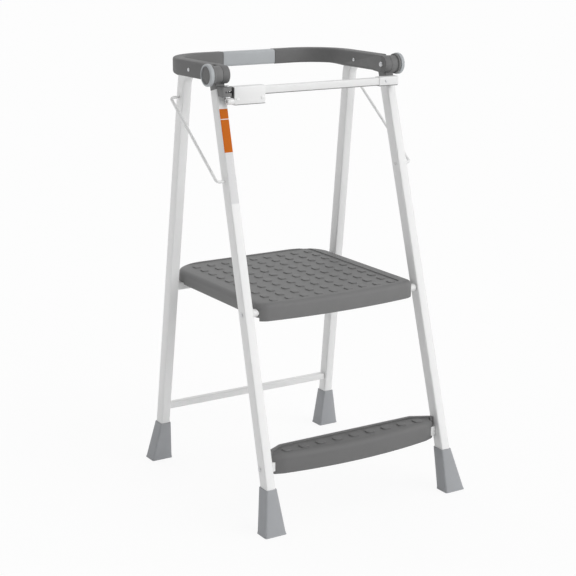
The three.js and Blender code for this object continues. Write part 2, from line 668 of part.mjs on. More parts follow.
// Rings stand square to the mean direction at each corner of the wire.
function wire(points, radius, sides) {
  const n = points.length;
  const direction = points.map((p, i) => {
    const a = points[Math.max(i - 1, 0)];
    const b = points[Math.min(i + 1, n - 1)];
    return b.clone().sub(p).normalize().add(p.clone().sub(a).normalize()).normalize();
  });
  let u = V(0, 0, 1);
  return loft(points.map((p, i) => {
    const w = direction[i];
    u = u.clone().addScaledVector(w, -u.dot(w)).normalize();
    const v = w.clone().cross(u);
    return Array.from({ length: sides }, (_, k) => {
      const a = (2 * Math.PI * k) / sides;
      return p.clone().addScaledVector(u, radius * Math.cos(a))
        .addScaledVector(v, radius * Math.sin(a));
    });
  }));
}
addPair('stay', toSolid(wire(stayPath(), STAY_R, 10)), MATERIAL.white);

// ---------------------------------------------------------------- treads

// Plan outline of a tread: front edge bowed forward, rounded front corners and cut-back rear
// corners, all of it moved in by the given amount.
function treadOutline({ half, front: frontEdge, rear: rearEdge, bow, corner, cutX, cutY, soft },
  inset) {
  const x = half - inset;
  const [yf, yr] = [frontEdge + inset, rearEdge - inset];
  const slant = Math.hypot(cutX, cutY);
  const backX = cutX - inset + (inset * (slant - cutX)) / cutY;
  const backY = cutY - inset + (inset * (slant - cutY)) / cutX;
  const along = { x: (backX / Math.hypot(backX, backY)) * soft,
    y: (backY / Math.hypot(backX, backY)) * soft };
  const room = (yr - backY - soft - yf) / (1 + (2 * bow) / (x - corner)) - GAP;
  const r = Math.min(Math.max(corner - inset, GAP), room);
  const slope = (2 * bow) / (x - r);
  const shape = new THREE.Shape();
  shape.moveTo(-x + r, yf);
  shape.quadraticCurveTo(0, yf - 2 * bow, x - r, yf);
  shape.quadraticCurveTo(x, yf + slope * r, x, yf + (slope + 1) * r);
  shape.lineTo(x, yr - backY - soft);
  shape.quadraticCurveTo(x, yr - backY, x - along.x, yr - backY + along.y);
  shape.lineTo(x - backX + along.x, yr - along.y);
  shape.quadraticCurveTo(x - backX, yr, x - backX - soft, yr);
  shape.lineTo(-x + backX + soft, yr);
  shape.quadraticCurveTo(-x + backX, yr, -x + backX - along.x, yr - along.y);
  shape.lineTo(-x + along.x, yr - backY + along.y);
  shape.quadraticCurveTo(-x, yr - backY, -x, yr - backY - soft);
  shape.lineTo(-x, yf + (slope + 1) * r);
  shape.quadraticCurveTo(-x, yf + slope * r, -x + r, yf);
  return shape;
}

// A plate with that outline and a rounded top edge.
function pressed(tread, inset, z0, z1, edge, divisions, edgeSteps = 3) {
  const ring = (more, z) =>
    sectionPoints(treadOutline(tread, inset + more), divisions).map((p) => V(p.x, p.y, z));
  const rounding = Array.from({ length: edge ? edgeSteps : 0 }, (_, i) => {
    const turn = ((i + 1) / edgeSteps) * (Math.PI / 2);
    return ring(edge * (1 - Math.cos(turn)), z1 - edge + edge * Math.sin(turn));
  });
  return toSolid(loft([ring(0, z0), ring(0, z1 - edge), ...rounding]));
}

// A raised stud with drafted sides, sunk a little into the tread that carries it.
function stud(x, y, z, { width, depth, height, draft, sink, corner }) {
  const ring = (level, inset) =>
    sectionPoints(corner ? roundedRect(width - 2 * inset, depth - 2 * inset, corner - inset)
      : new THREE.Shape([V(1, -1), V(1, 1), V(-1, 1), V(-1, -1)].map((p) =>
        new THREE.Vector2(p.x * (width / 2 - inset), p.y * (depth / 2 - inset)))), 1)
      .map((p) => V(x + p.x, y + p.y, level));
  return toSolid(loft([ring(z - sink, 0), ring(z, 0), ring(z + height, draft)]));
}

// ---------------------------------------------------------------- platform

const deck = {
  half: DECK_HALF_WIDTH, front: pivotTubeY - DECK_NOSE, rear: supportY + DECK_OVERHANG,
  bow: DECK_BOW, corner: DECK_CORNER, cutX: DECK_CUT_X, cutY: DECK_CUT_Y, soft: DECK_CUT_SOFT,
};
const deckLow = DECK_TOP - DECK_HEIGHT;
const deckSideLow = DECK_TOP - DECK_SIDE_HEIGHT;
const deckCeiling = DECK_TOP - DECK_SKIN;
const deckWide = DECK_HALF_WIDTH + PAST;
const ribLow = SUPPORT_TOP + GAP;
const deckOuter = pressed(deck, 0, deckLow, DECK_TOP, DECK_EDGE, 5);
const deckCavity = pressed(deck, DECK_SKIN, deckLow - PAST, deckCeiling,
  DECK_EDGE - DECK_SKIN, 4, 1);
const deckRibs = [];
for (const k of [-2, -1, 0, 1, 2]) {
  const x = k * (DECK_HALF_WIDTH / 3);
  deckRibs.push(box(x - RIB_T / 2, x + RIB_T / 2, deck.front - DECK_BOW, deck.rear, ribLow,
    deckCeiling + DECK_SKIN / 2));
}
for (const k of [1, 2, 3, 4]) {
  const y = deck.front + ((deck.rear - deck.front) * k) / 5;
  deckRibs.push(box(-DECK_HALF_WIDTH, DECK_HALF_WIDTH, y - RIB_T / 2, y + RIB_T / 2, ribLow,
    deckCeiling + DECK_SKIN / 2));
}
const fieldFront = deck.front + FIELD_INSET_FRONT;
const fieldRear = deck.rear - FIELD_INSET_REAR;
const fieldMiddle = V(0, (fieldFront + fieldRear) / 2, DECK_TOP - FIELD_DEPTH);
const field = beamSolid(
  roundedRect(2 * (DECK_HALF_WIDTH - FIELD_INSET_X), fieldRear - fieldFront, FIELD_CORNER),
  fieldMiddle, fieldMiddle.clone().add(V(0, 0, PAST)));
const deckStud = {
  width: STUD_X, depth: STUD_Y, height: STUD_HEIGHT, draft: STUD_DRAFT, sink: DECK_SKIN / 4,
};
const deckStuds = [];
for (let row = 0; row < STUD_ROWS; row++) {
  for (let column = 0; column < STUD_COLUMNS; column++) {
    deckStuds.push(stud((column - (STUD_COLUMNS - 1) / 2) * STUD_PITCH,
      pivotTubeY + STUD_FRONT + row * STUD_PITCH, fieldMiddle.z, deckStud));
  }
}
const platform = cut(
  joined(
    cut(deckOuter, deckCavity, field),
    joined(...deckRibs).intersect(deckOuter), ...deckStuds,
  ),
  box(-deckWide, deckWide, pivotTubeY - DECK_NOSING_END, deck.rear + PAST, deckLow - PAST,
    deckSideLow),
  rod(PIVOT_TUBE_R + GAP, V(-deckWide, pivotTubeY, PIVOT_TUBE_Z),
    V(deckWide, pivotTubeY, PIVOT_TUBE_Z), 12),
  box(-deckWide, deckWide, supportY - SUPPORT_D / 2 - BAR_NOTCH_FRONT,
    supportY + SUPPORT_D / 2 + BAR_NOTCH_BACK, deckLow - PAST, ribLow),
);
add('platform', platform, MATERIAL.dark);

// ---------------------------------------------------------------- lower step

const step = {
  half: legInnerX(STEP_TOP + STEP_RIM) - STEP_SIDE_GAP, front: STEP_FRONT, rear: STEP_REAR,
  bow: STEP_BOW, corner: STEP_CORNER, cutX: STEP_CHAMFER_X, cutY: STEP_CHAMFER_Y,
  soft: STEP_CHAMFER_SOFT,
};
const stepLow = STEP_TOP - STEP_HEIGHT;
const stepCeiling = STEP_TOP - STEP_SKIN;
const stepWide = step.half + PAST;
const squareBack = STEP_REAR - STEP_CHAMFER_Y;
const roundedFront = { ...step, rear: STEP_REAR + 2 * STEP_EDGE, cutX: 1, cutY: 1, soft: GAP };
const inFront = (y, z0) => box(-stepWide, stepWide, STEP_FRONT - STEP_BOW - PAST, y, z0,
  STEP_TOP + STEP_RIM + PAST);
const stepPlan = (inset, z0, z1) => pressed(step, inset, z0, z1, 0, 6);
const stepBody = (inset, z0, z1, edgeSteps) => cut(stepPlan(inset, z0, z1),
  cut(inFront(squareBack - inset, z0 - PAST),
    pressed(roundedFront, inset, z0 - 2 * PAST, z1, STEP_EDGE - inset, 6, edgeSteps)));
const stepOuter = stepBody(0, stepLow, STEP_TOP, 3);
const stepRim = cut(
  stepPlan(0, STEP_TOP - STEP_SKIN / 2, STEP_TOP + STEP_RIM),
  stepPlan(STEP_RIM_WIDTH, STEP_TOP - STEP_SKIN, STEP_TOP + STEP_RIM + PAST),
  inFront(squareBack, STEP_TOP - STEP_SKIN),
);
const stepRibs = joined(...[-3, -2, -1, 0, 1, 2, 3].map((k) => {
  const x = k * (step.half / 4);
  return box(x - RIB_T / 2, x + RIB_T / 2, STEP_FRONT - STEP_BOW, STEP_REAR,
    STEP_BAR_TOP - STEP_SKIN, stepCeiling + STEP_SKIN / 2);
})).intersect(stepOuter);
const stepStud = {
  width: STEP_STUD_X, depth: STEP_STUD_Y, height: STUD_HEIGHT, draft: STUD_DRAFT,
  sink: STEP_SKIN, corner: STEP_STUD_Y / 3,
};
const stepStuds = Array.from({ length: STEP_STUDS }, (_, i) =>
  stud((i - (STEP_STUDS - 1) / 2) * STEP_STUD_PITCH, STEP_REAR - STEP_STUD_BACK, STEP_TOP,
    stepStud));
const lowerStep = cut(
  joined(
    cut(stepOuter, stepBody(STEP_SKIN, stepLow - PAST, stepCeiling, 1)),
    stepRim, stepRibs, ...stepStuds,
  ),
  box(-stepWide, stepWide, stepBarY - STEP_BAR_D / 2 - GAP, stepBarY + STEP_BAR_D / 2 + GAP,
    stepLow - PAST, STEP_BAR_TOP + GAP),
);
add('lower_step', lowerStep, MATERIAL.dark);

// ---------------------------------------------------------------- gate

const sleeveSize = GATE_BAR + 2 * (SLEEVE_WALL + GAP);
const gateY = frontFaceY(GATE_Z - sleeveSize / 2) - GATE_LEG_GAP - sleeveSize / 2;
const gatePin = { x: GATE_PIN_IN - legCentreX(GATE_Z), y: gateY + PIN_FORWARD };
const sleeveEnd = legCentreX(GATE_Z) + SLEEVE_PAST;
const gateRun = (shape, x0, x1) => beamSolid(shape, V(x0, gateY, GATE_Z), V(x1, gateY, GATE_Z));

const bracketX = gatePin.x + BLOCK_R + BRACKET_CLEAR;
const gateBarX = bracketX + BAR_START;
const sleeveX = sleeveEnd - SLEEVE_LENGTH;
const gateBarEnd = sleeveEnd - SLEEVE_WALL_END;
add('gate_bar', cut(
  gateRun(roundedRect(GATE_BAR, GATE_BAR, 2), gateBarX, gateBarEnd),
  gateRun(roundedRect(GATE_BAR - 2 * GATE_WALL, GATE_BAR - 2 * GATE_WALL, 1), gateBarX - PAST,
    sleeveEnd + PAST),
), MATERIAL.white);

const sleeveFront = gateY - sleeveSize / 2;
const sleeveRivetX = sleeveX + SLEEVE_RIVET_AT;
add('gate_end_sleeve', cut(
  gateRun(roundedRect(sleeveSize, sleeveSize, 2.5), sleeveX, sleeveEnd),
  gateRun(roundedRect(GATE_BAR + 2 * GAP, GATE_BAR + 2 * GAP, 2), sleeveX - PAST,
    gateBarEnd + GAP),
), MATERIAL.white);

// A dome with no shank, seated on a face in front of the gate.
const dome = (x, y, z, radius, height) => {
  const profile = [[0, 0], [0, radius], [height * 0.5, radius * 0.85],
    [height, radius * 0.4], [height, 0]].map(([h, r]) => new THREE.Vector2(r, h));
  const geometry = new THREE.LatheGeometry(profile, 12).rotateX(Math.PI).translate(x, y, z);
  const solid = toSolid(geometry);
  if (solid.volume() > 0) return solid;
  const index = geometry.index.array;
  for (let i = 0; i < index.length; i += 3) [index[i], index[i + 1]] = [index[i + 1], index[i]];
  return toSolid(geometry);
};
add('gate_sleeve_rivet', dome(sleeveRivetX, sleeveFront - GAP, GATE_Z, DOME_R, DOME_HEIGHT),
  MATERIAL.zinc);

const bumperBack = frontFaceY(GATE_Z - BUMPER_R) - GAP;
const bumperX = legCentreX(GATE_Z) - BUMPER_IN;
add('gate_bumper', rod(BUMPER_R, V(bumperX, gateY + sleeveSize / 2 + GAP, GATE_Z),
  V(bumperX, bumperBack, GATE_Z), 8), MATERIAL.foot);

// Hinge block on the front face of the left leg: a clevis about an upright pin.
const blockLow = GATE_Z - BLOCK_HEIGHT / 2;
const blockHigh = GATE_Z + BLOCK_HEIGHT / 2;
const blockBack = frontFaceY(blockHigh) + BLOCK_WRAP;
const blockPlan = new THREE.Shape();
blockPlan.moveTo(gatePin.x - BLOCK_LEFT, gatePin.y - BLOCK_R);
blockPlan.lineTo(gatePin.x, gatePin.y - BLOCK_R);
blockPlan.absarc(gatePin.x, gatePin.y, BLOCK_R, -Math.PI / 2, 0, false);
blockPlan.lineTo(gatePin.x + BLOCK_R, blockBack);
blockPlan.lineTo(gatePin.x - BLOCK_LEFT, blockBack);
const upright = (shape, x, y, z0, z1, segments) =>
  beamSolid(shape, V(x, y, z0), V(x, y, z1), segments);
const leftFront = (z) => front(z).multiply(V(-1, 1, 1));
const legFace = beamSolid(roundedRect(TUBE_X * 5, TUBE_Y + 2 * GAP, 0.1),
  leftFront(blockLow - BLOCK_HEIGHT), leftFront(blockHigh + BLOCK_HEIGHT));
add('gate_block', cut(
  upright(blockPlan, 0, 0, blockLow, blockHigh, 8),
  legFace,
  box(gatePin.x - TONGUE_R - TONGUE_ROOM, gatePin.x + 4 * BLOCK_R, gatePin.y - 4 * BLOCK_R,
    gatePin.y + TONGUE_R + TONGUE_ROOM, GATE_Z - TONGUE_T / 2 - GAP, GATE_Z + TONGUE_T / 2 + GAP),
  upright(disc(GATE_PIN_R + GAP), gatePin.x, gatePin.y, blockLow - PAST,
    blockHigh + PAST, 8),
), MATERIAL.dark);
add('gate_pin', joined(
  upright(disc(GATE_PIN_R), gatePin.x, gatePin.y, blockLow - PIN_HEAD, blockHigh + PIN_HEAD, 8),
  upright(disc(GATE_PIN_R + PIN_HEAD), gatePin.x, gatePin.y, blockHigh + GAP,
    blockHigh + GAP + PIN_HEAD, 8),
), MATERIAL.zinc);

// Bracket: a folded channel that holds the bar, with a tongue on the pin and a round boss.
const bracketFront = gateY - GATE_BAR / 2 - GAP - BRACKET_T;
const bracketTop = GATE_Z + GATE_BAR / 2 + GAP + BRACKET_T;
const bracketLow = bracketTop - BRACKET_HEIGHT;
const bracketEnd = bracketX + BRACKET_LENGTH;
const bracketBack = gateY + GATE_BAR / 2;
const bossY = bracketFront + BOSS_R;
const bossZ = bracketLow + BOSS_R + GAP;
const rivetSeats = [
  { x: bracketX + SEAT_IN, z: bracketTop - SEAT_DROP },
  { x: bracketEnd - SEAT_IN, z: bracketTop - SEAT_DROP },
];
const bracketSolid = cut(
  joined(
    box(bracketX, bracketEnd, bracketFront, bracketFront + BRACKET_T, bracketLow, bracketTop),
    box(bracketX, bracketEnd, bracketFront, bracketBack, bracketTop - BRACKET_T, bracketTop),
    box(bracketX, bracketEnd, bracketFront, bracketBack, bracketLow, bracketLow + BRACKET_T),
    box(gatePin.x, gateBarX - TONGUE_ROOM, gatePin.y - TONGUE_R, gatePin.y + TONGUE_R - PIN_FORWARD,
      GATE_Z - TONGUE_T / 2, GATE_Z + TONGUE_T / 2),
    box(bracketX, gateBarX - TONGUE_ROOM, bracketFront, gatePin.y, GATE_Z - TONGUE_T / 2,
      GATE_Z + TONGUE_T / 2),
    upright(disc(TONGUE_R), gatePin.x, gatePin.y, GATE_Z - TONGUE_T / 2, GATE_Z + TONGUE_T / 2, 10),
    rod(BOSS_R, V(gatePin.x - BOSS_LEFT, bossY, bossZ), V(bracketX + BRACKET_T, bossY, bossZ), 8),
  ),
  rod(BOSS_BORE_R, V(gatePin.x - BOSS_LEFT - PAST, bossY, bossZ),
    V(bracketX - BRACKET_T, bossY, bossZ), 6),
  upright(disc(GATE_PIN_R + GAP), gatePin.x, gatePin.y, GATE_Z - BLOCK_HEIGHT,
    GATE_Z + BLOCK_HEIGHT, 8),
);
add('gate_bracket', bracketSolid, MATERIAL.white);
rivetSeats.forEach(({ x, z }, i) => {
  add(`gate_rivet_${i + 1}`, dome(x, bracketFront - GAP, z, DOME_R, DOME_HEIGHT), MATERIAL.zinc);
});

// ---------------------------------------------------------------- origin

// The footprint runs from the front feet's front edge to the rear feet's back edge.
const frontEdge = front(0).y - frontDepth / 2 - FOOT_FLARE_FRONT;
const rearEdge = rear(0).y + rearDepth / 2 + REAR_FOOT_FLARE_BACK;
stool.position.y = -(frontEdge + rearEdge) / 2;

export default stool;
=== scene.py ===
"""Folding step stool: the finished surfaces of its pieces, built on the fixed frame, in metres."""

import json
import math
from contextlib import contextmanager

import bmesh
import bpy
from mathutils import Matrix, Vector


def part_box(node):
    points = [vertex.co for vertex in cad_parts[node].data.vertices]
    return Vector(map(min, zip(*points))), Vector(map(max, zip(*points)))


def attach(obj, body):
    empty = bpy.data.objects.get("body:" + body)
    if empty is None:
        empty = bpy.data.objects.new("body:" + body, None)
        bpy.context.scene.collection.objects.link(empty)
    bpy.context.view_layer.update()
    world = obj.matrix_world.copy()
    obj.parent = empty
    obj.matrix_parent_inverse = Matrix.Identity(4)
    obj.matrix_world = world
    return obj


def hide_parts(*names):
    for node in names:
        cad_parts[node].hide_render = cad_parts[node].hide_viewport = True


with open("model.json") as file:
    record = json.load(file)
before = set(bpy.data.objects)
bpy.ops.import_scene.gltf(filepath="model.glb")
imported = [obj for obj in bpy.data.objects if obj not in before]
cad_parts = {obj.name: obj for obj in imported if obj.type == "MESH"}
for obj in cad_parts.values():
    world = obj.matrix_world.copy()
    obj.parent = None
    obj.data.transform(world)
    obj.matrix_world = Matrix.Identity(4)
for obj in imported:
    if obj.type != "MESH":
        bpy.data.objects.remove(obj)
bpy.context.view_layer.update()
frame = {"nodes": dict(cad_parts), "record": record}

MM = 0.001
OVER = 9 * MM  # how far a cutting block stands out past the piece
NEAR = 0.1 * MM  # how close to a level counts as on it
TOUCH = 0.02 * MM  # how close to a plane counts as in it
SQUARE = 60  # degrees, above which an edge is a block's own edge


# ---------------------------------------------------------------- modelling helpers


def add(kind, name, **where):
    """A primitive added at its size and place, with that place then kept in its mesh."""
    bpy.ops.object.select_all(action="DESELECT")
    getattr(bpy.ops.mesh, f"primitive_{kind}_add")(**where)
    bpy.ops.object.transform_apply(location=True, rotation=True, scale=True)
    return named(bpy.context.object, name)


def add_block(name, low, high):
    low, high = Vector(low), Vector(high)
    return add("cube", name, size=1, location=(low + high) / 2, scale=high - low)


def add_rod(name, radius, start, end, sides=32):
    """A cylinder between two points."""
    start, end = Vector(start), Vector(end)
    turn = (end - start).to_track_quat("Z", "X").to_euler()
    return add("cylinder", name, vertices=sides, radius=radius, depth=(end - start).length,
               location=(start + end) / 2, rotation=turn)


def pick(*pieces):
    """Selects these pieces and nothing else, with the first one active."""
    bpy.ops.object.select_all(action="DESELECT")
    for piece in pieces:
        piece.select_set(True)
    bpy.context.view_layer.objects.active = pieces[0]


@contextmanager
def editing(piece):
    """Edit mode on one piece, with nothing else selected."""
    pick(piece)
    bpy.ops.object.mode_set(mode="EDIT")
    yield
    bpy.ops.object.mode_set(mode="OBJECT")


def choose(kind, test):
    """Selects the vertices, edges or faces of the edited piece that pass a test."""
    mesh = bmesh.from_edit_mesh(bpy.context.object.data)
    bpy.ops.mesh.select_mode(type=kind)
    bpy.ops.mesh.select_all(action="DESELECT")
    items = {"VERT": mesh.verts, "EDGE": mesh.edges, "FACE": mesh.faces}[kind]
    mesh.normal_update()
    for item in items:
        item.select_set(bool(test(item)))
    mesh.select_flush_mode()
    bmesh.update_edit_mesh(bpy.context.object.data)


def middle(edge):
    return (edge.verts[0].co + edge.verts[1].co) / 2


def along(edge, axis):
    """True when an edge runs along an axis, 0 to 2."""
    run = (edge.verts[1].co - edge.verts[0].co).normalized()
    return abs(run[axis]) > 0.99


def faces_to(face, direction):
    return face.normal.dot(Vector(direction)) > 0.99


def sharp(edge, limit=25):
    """True when the two faces at an edge meet at more than a limit, in degrees."""
    return len(edge.link_faces) == 2 and edge.calc_face_angle(0) > math.radians(limit)


def square(edge):
    return sharp(edge, SQUARE)


def upright(edge):
    return along(edge, 2)


def crosswise(edge):
    return along(edge, 0)


def over(edge, level):
    """True when all of an edge lies above a level."""
    return min(vertex.co.z for vertex in edge.verts) > level


def under(edge, level):
    return max(vertex.co.z for vertex in edge.verts) < level


def whole(_):
    return True


def round_edges(width, segments, test=square):
    choose("EDGE", test)
    bpy.ops.mesh.bevel(offset=width, segments=segments, affect="EDGES")


def rounded(piece, width, segments, test=square):
    """A piece with some of its edges rounded."""
    with editing(piece):
        round_edges(width, segments, test)
    return piece


def shift(move):
    """Moves each vertex of the edited piece by what move(co) says."""
    mesh = bmesh.from_edit_mesh(bpy.context.object.data)
    for vertex in mesh.verts:
        vertex.co += Vector(move(vertex.co))
    bmesh.update_edit_mesh(bpy.context.object.data)


def push(by):
    """Extrudes the selected faces by a vector."""
    bpy.ops.mesh.extrude_region_move(TRANSFORM_OT_translate={"value": Vector(by)})


def sweep_round(angle, centre, axis, steps):
    """Extrudes the selected faces round an axis, anticlockwise about it."""
    bpy.ops.mesh.spin(steps=steps, angle=-angle, center=centre, axis=axis)


def face_out():
    bpy.ops.mesh.select_all(action="SELECT")
    bpy.ops.mesh.remove_doubles(threshold=0.01 * MM)
    bpy.ops.mesh.normals_make_consistent(inside=False)


def join(first, *others):
    pick(first, *others)
    bpy.ops.object.join()
    return first


def combine(piece, operation, tools):
    """Applies one boolean for each tool, and removes the tools."""
    for tool in tools:
        pick(piece)
        modifier = piece.modifiers.new("boolean", "BOOLEAN")
        modifier.operation, modifier.object, modifier.solver = operation, tool, "EXACT"
        bpy.ops.object.modifier_apply(modifier=modifier.name)
        bpy.data.objects.remove(tool)
    return piece


def cut(piece, *tools):
    return combine(piece, "DIFFERENCE", tools)


def fuse(piece, *others):
    return combine(piece, "UNION", others)


def named(piece, name):
    piece.name = piece.data.name = name
    return piece


def copy_of(piece, name, move):
    """A moved copy of a piece."""
    twin = piece.copy()
    twin.data = piece.data.copy()
    bpy.context.scene.collection.objects.link(twin)
    twin.data.transform(move)
    return named(twin, name)


def mirrored(piece):
    """The left-hand copy of a right-hand piece, with its faces turned out again."""
    twin = copy_of(piece, piece.name.replace("_right", "_left"), Matrix.Scale(-1, 4, (1, 0, 0)))
    twin.data.flip_normals()
    return twin


def finish(piece, material, body, slot, *nodes, limit=32):
    """A finished piece: its finish, the body that it rides on and the nodes that it stands for."""
    pick(piece)
    bpy.ops.object.shade_smooth_by_angle(angle=math.radians(limit))
    piece.data.materials.clear()
    piece.data.materials.append(material)
    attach(piece, body)
    if nodes:
        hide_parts(*nodes)
    return piece


def finish_pair(right, material, body, slot, node, limit=32):
    """Finishes a right-hand piece, and then its left-hand copy.
    """
    finish(right, material, body.format(side="right"), slot, f"{node}_right", limit=limit)
    finish(mirrored(right), material, body.format(side="left"), slot, f"{node}_left", limit=limit)


def finish_legs(right, body, node):
    """Finishes a right-hand leg tube and its left-hand copy, which is made first."""
    for leg, side in ((right, "right"), (mirrored(right), "left")):
        finish(leg, WHITE, body, "white_steel", f"{node}_{side}")


# ---------------------------------------------------------------- sizes shared with the frame

FOOT_FLARE_FRONT = 5.6  # millimetres
front_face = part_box("front_foot_right")[0].y + FOOT_FLARE_FRONT * MM


def at(x, y, z):
    """A point from millimetres measured from the front legs' front face at the floor."""
    return Vector((x, y, z)) * MM + Vector((0, front_face, 0))


# in millimetres, and slopes as millimetres per millimetre of height
GAP = 0.3
TUBE = Vector((21, 26.5))
TUBE_CORNER = 3
LEG_FOOT = 10.3
LEG_TAPER = 0.0166
FRONT_LEAN = 0.277
FRONT_TOP = 857
HALF_WIDTH = 230
REAR_SPREAD = 507
BEND_RADIUS = 30.5
BEND_BACK = 37
BEND_DROP = 11
PIVOT_FORWARD, PIVOT_RISE = 3.8, 30
LEG_PIVOT_BACK, LEG_PIVOT_RISE = 102.5, 1

front_depth = TUBE.y * math.hypot(1, FRONT_LEAN)
pivot = Vector((0, FRONT_LEAN * FRONT_TOP + front_depth / 2 - PIVOT_FORWARD,
                FRONT_TOP + PIVOT_RISE))
leg_pivot = pivot + Vector((0, LEG_PIVOT_BACK, LEG_PIVOT_RISE))
bend_corner = leg_pivot + Vector((0, BEND_BACK, 0))
REAR_LEAN = (REAR_SPREAD - bend_corner.y) / bend_corner.z
rear_depth = TUBE.y * math.hypot(1, REAR_LEAN)


def leg_x(z):
    return HALF_WIDTH - TUBE.x / 2 - LEG_TAPER * z


def front_y(z):
    return FRONT_LEAN * z + front_depth / 2


def rear_y(z):
    return REAR_SPREAD - REAR_LEAN * z


BARREL_R, FLANGE_R = 18, 21.2
PIN_HEAD_R = 5.6
SMALL_HEAD_R = 3.9
ARM_INNER_WALL, ARM_OUTER_WALL = 5.7, 1.3
BARREL_IN, BARREL_OUT, FLANGE = 0.8, 16.2, 4.7
RING_R, RING_LONG, RING_LIP = 22.5, 9, 3.2
CAP_R, CAP_ROOM, CAP_SUNK = 17.6, 1, 1.4
pocket = (leg_x(leg_pivot.z) - TUBE.x / 2 - 2 * GAP,
          leg_x(pivot.z - BARREL_R) + TUBE.x / 2 + 2 * GAP)
arm_in, arm_out = pocket[0] - ARM_INNER_WALL, pocket[1] + ARM_OUTER_WALL
split = leg_x(pivot.z) - BARREL_IN
barrel_end = leg_x(pivot.z) + BARREL_OUT
flange_end = barrel_end + FLANGE
ring_end = flange_end + GAP + RING_LONG


# ---------------------------------------------------------------- finishes


def shader_group(name, inputs, outputs):
    """A node group with number inputs, and outputs given as (name, socket type)."""
    group = bpy.data.node_groups.new(name, "ShaderNodeTree")
    for label, value in inputs:
        socket = group.interface.new_socket(label, in_out="INPUT", socket_type="NodeSocketFloat")
        socket.default_value = value
    for label, kind in outputs:
        group.interface.new_socket(label, in_out="OUTPUT", socket_type=kind)
    enter = group.nodes.new("NodeGroupInput")
    leave = group.nodes.new("NodeGroupOutput")
    return group, enter, leave


def math_node(nodes, operation, second=0.5):
    node = nodes.new("ShaderNodeMath")
    node.operation = operation
    node.inputs[1].default_value = second
    return node


def make_grain():
    """Fine moulded grain: small soft pebbles over a slower unevenness."""
    group, enter, leave = shader_group(
        "fine_grain",
        [("Pebbles per metre", 2200.0), ("Waves per metre", 60.0), ("Wave share", 0.3)],
        [("Height", "NodeSocketFloat"), ("Tone", "NodeSocketFloat")])
    nodes, links = group.nodes, group.links
    place = nodes.new("ShaderNodeTexCoord")
    pebbles = nodes.new("ShaderNodeTexVoronoi")
    pebbles.feature = "SMOOTH_F1"
    pebbles.inputs["Smoothness"].default_value = 0.6
    links.new(place.outputs["Object"], pebbles.inputs["Vector"])
    links.new(enter.outputs["Pebbles per metre"], pebbles.inputs["Scale"])
    waves = nodes.new("ShaderNodeTexNoise")
    waves.inputs["Detail"].default_value = 4
    links.new(place.outputs["Object"], waves.inputs["Vector"])
    links.new(enter.outputs["Waves per metre"], waves.inputs["Scale"])
    mixed = nodes.new("ShaderNodeMix")
    links.new(enter.outputs["Wave share"], mixed.inputs["Factor"])
    links.new(pebbles.outputs["Distance"], mixed.inputs["A"])
    links.new(waves.outputs["Fac"], mixed.inputs["B"])
    links.new(mixed.outputs["Result"], leave.inputs["Height"])
    links.new(waves.outputs["Fac"], leave.inputs["Tone"])
    return group


def make_rubbed_edges():
    """A mask that is 1 on outer edges that hands and feet rub, broken up by scuffs."""
    group, enter, leave = shader_group(
        "rubbed_edges", [("Start", 0.52), ("Full", 0.6), ("Scuffs per metre", 90.0)],
        [("Mask", "NodeSocketFloat")])
    nodes, links = group.nodes, group.links
    shape = nodes.new("ShaderNodeNewGeometry")
    ramp = nodes.new("ShaderNodeMapRange")
    links.new(shape.outputs["Pointiness"], ramp.inputs["Value"])
    links.new(enter.outputs["Start"], ramp.inputs["From Min"])
    links.new(enter.outputs["Full"], ramp.inputs["From Max"])
    place = nodes.new("ShaderNodeTexCoord")
    scuffs = nodes.new("ShaderNodeTexNoise")
    scuffs.inputs["Detail"].default_value = 6
    scuffs.inputs["Roughness"].default_value = 0.65
    links.new(place.outputs["Object"], scuffs.inputs["Vector"])
    links.new(enter.outputs["Scuffs per metre"], scuffs.inputs["Scale"])
    product = math_node(nodes, "MULTIPLY")
    links.new(ramp.outputs["Result"], product.inputs[0])
    links.new(scuffs.outputs["Fac"], product.inputs[1])
    links.new(product.outputs["Value"], leave.inputs["Mask"])
    return group


GRAIN = make_grain()
RUBBED = make_rubbed_edges()


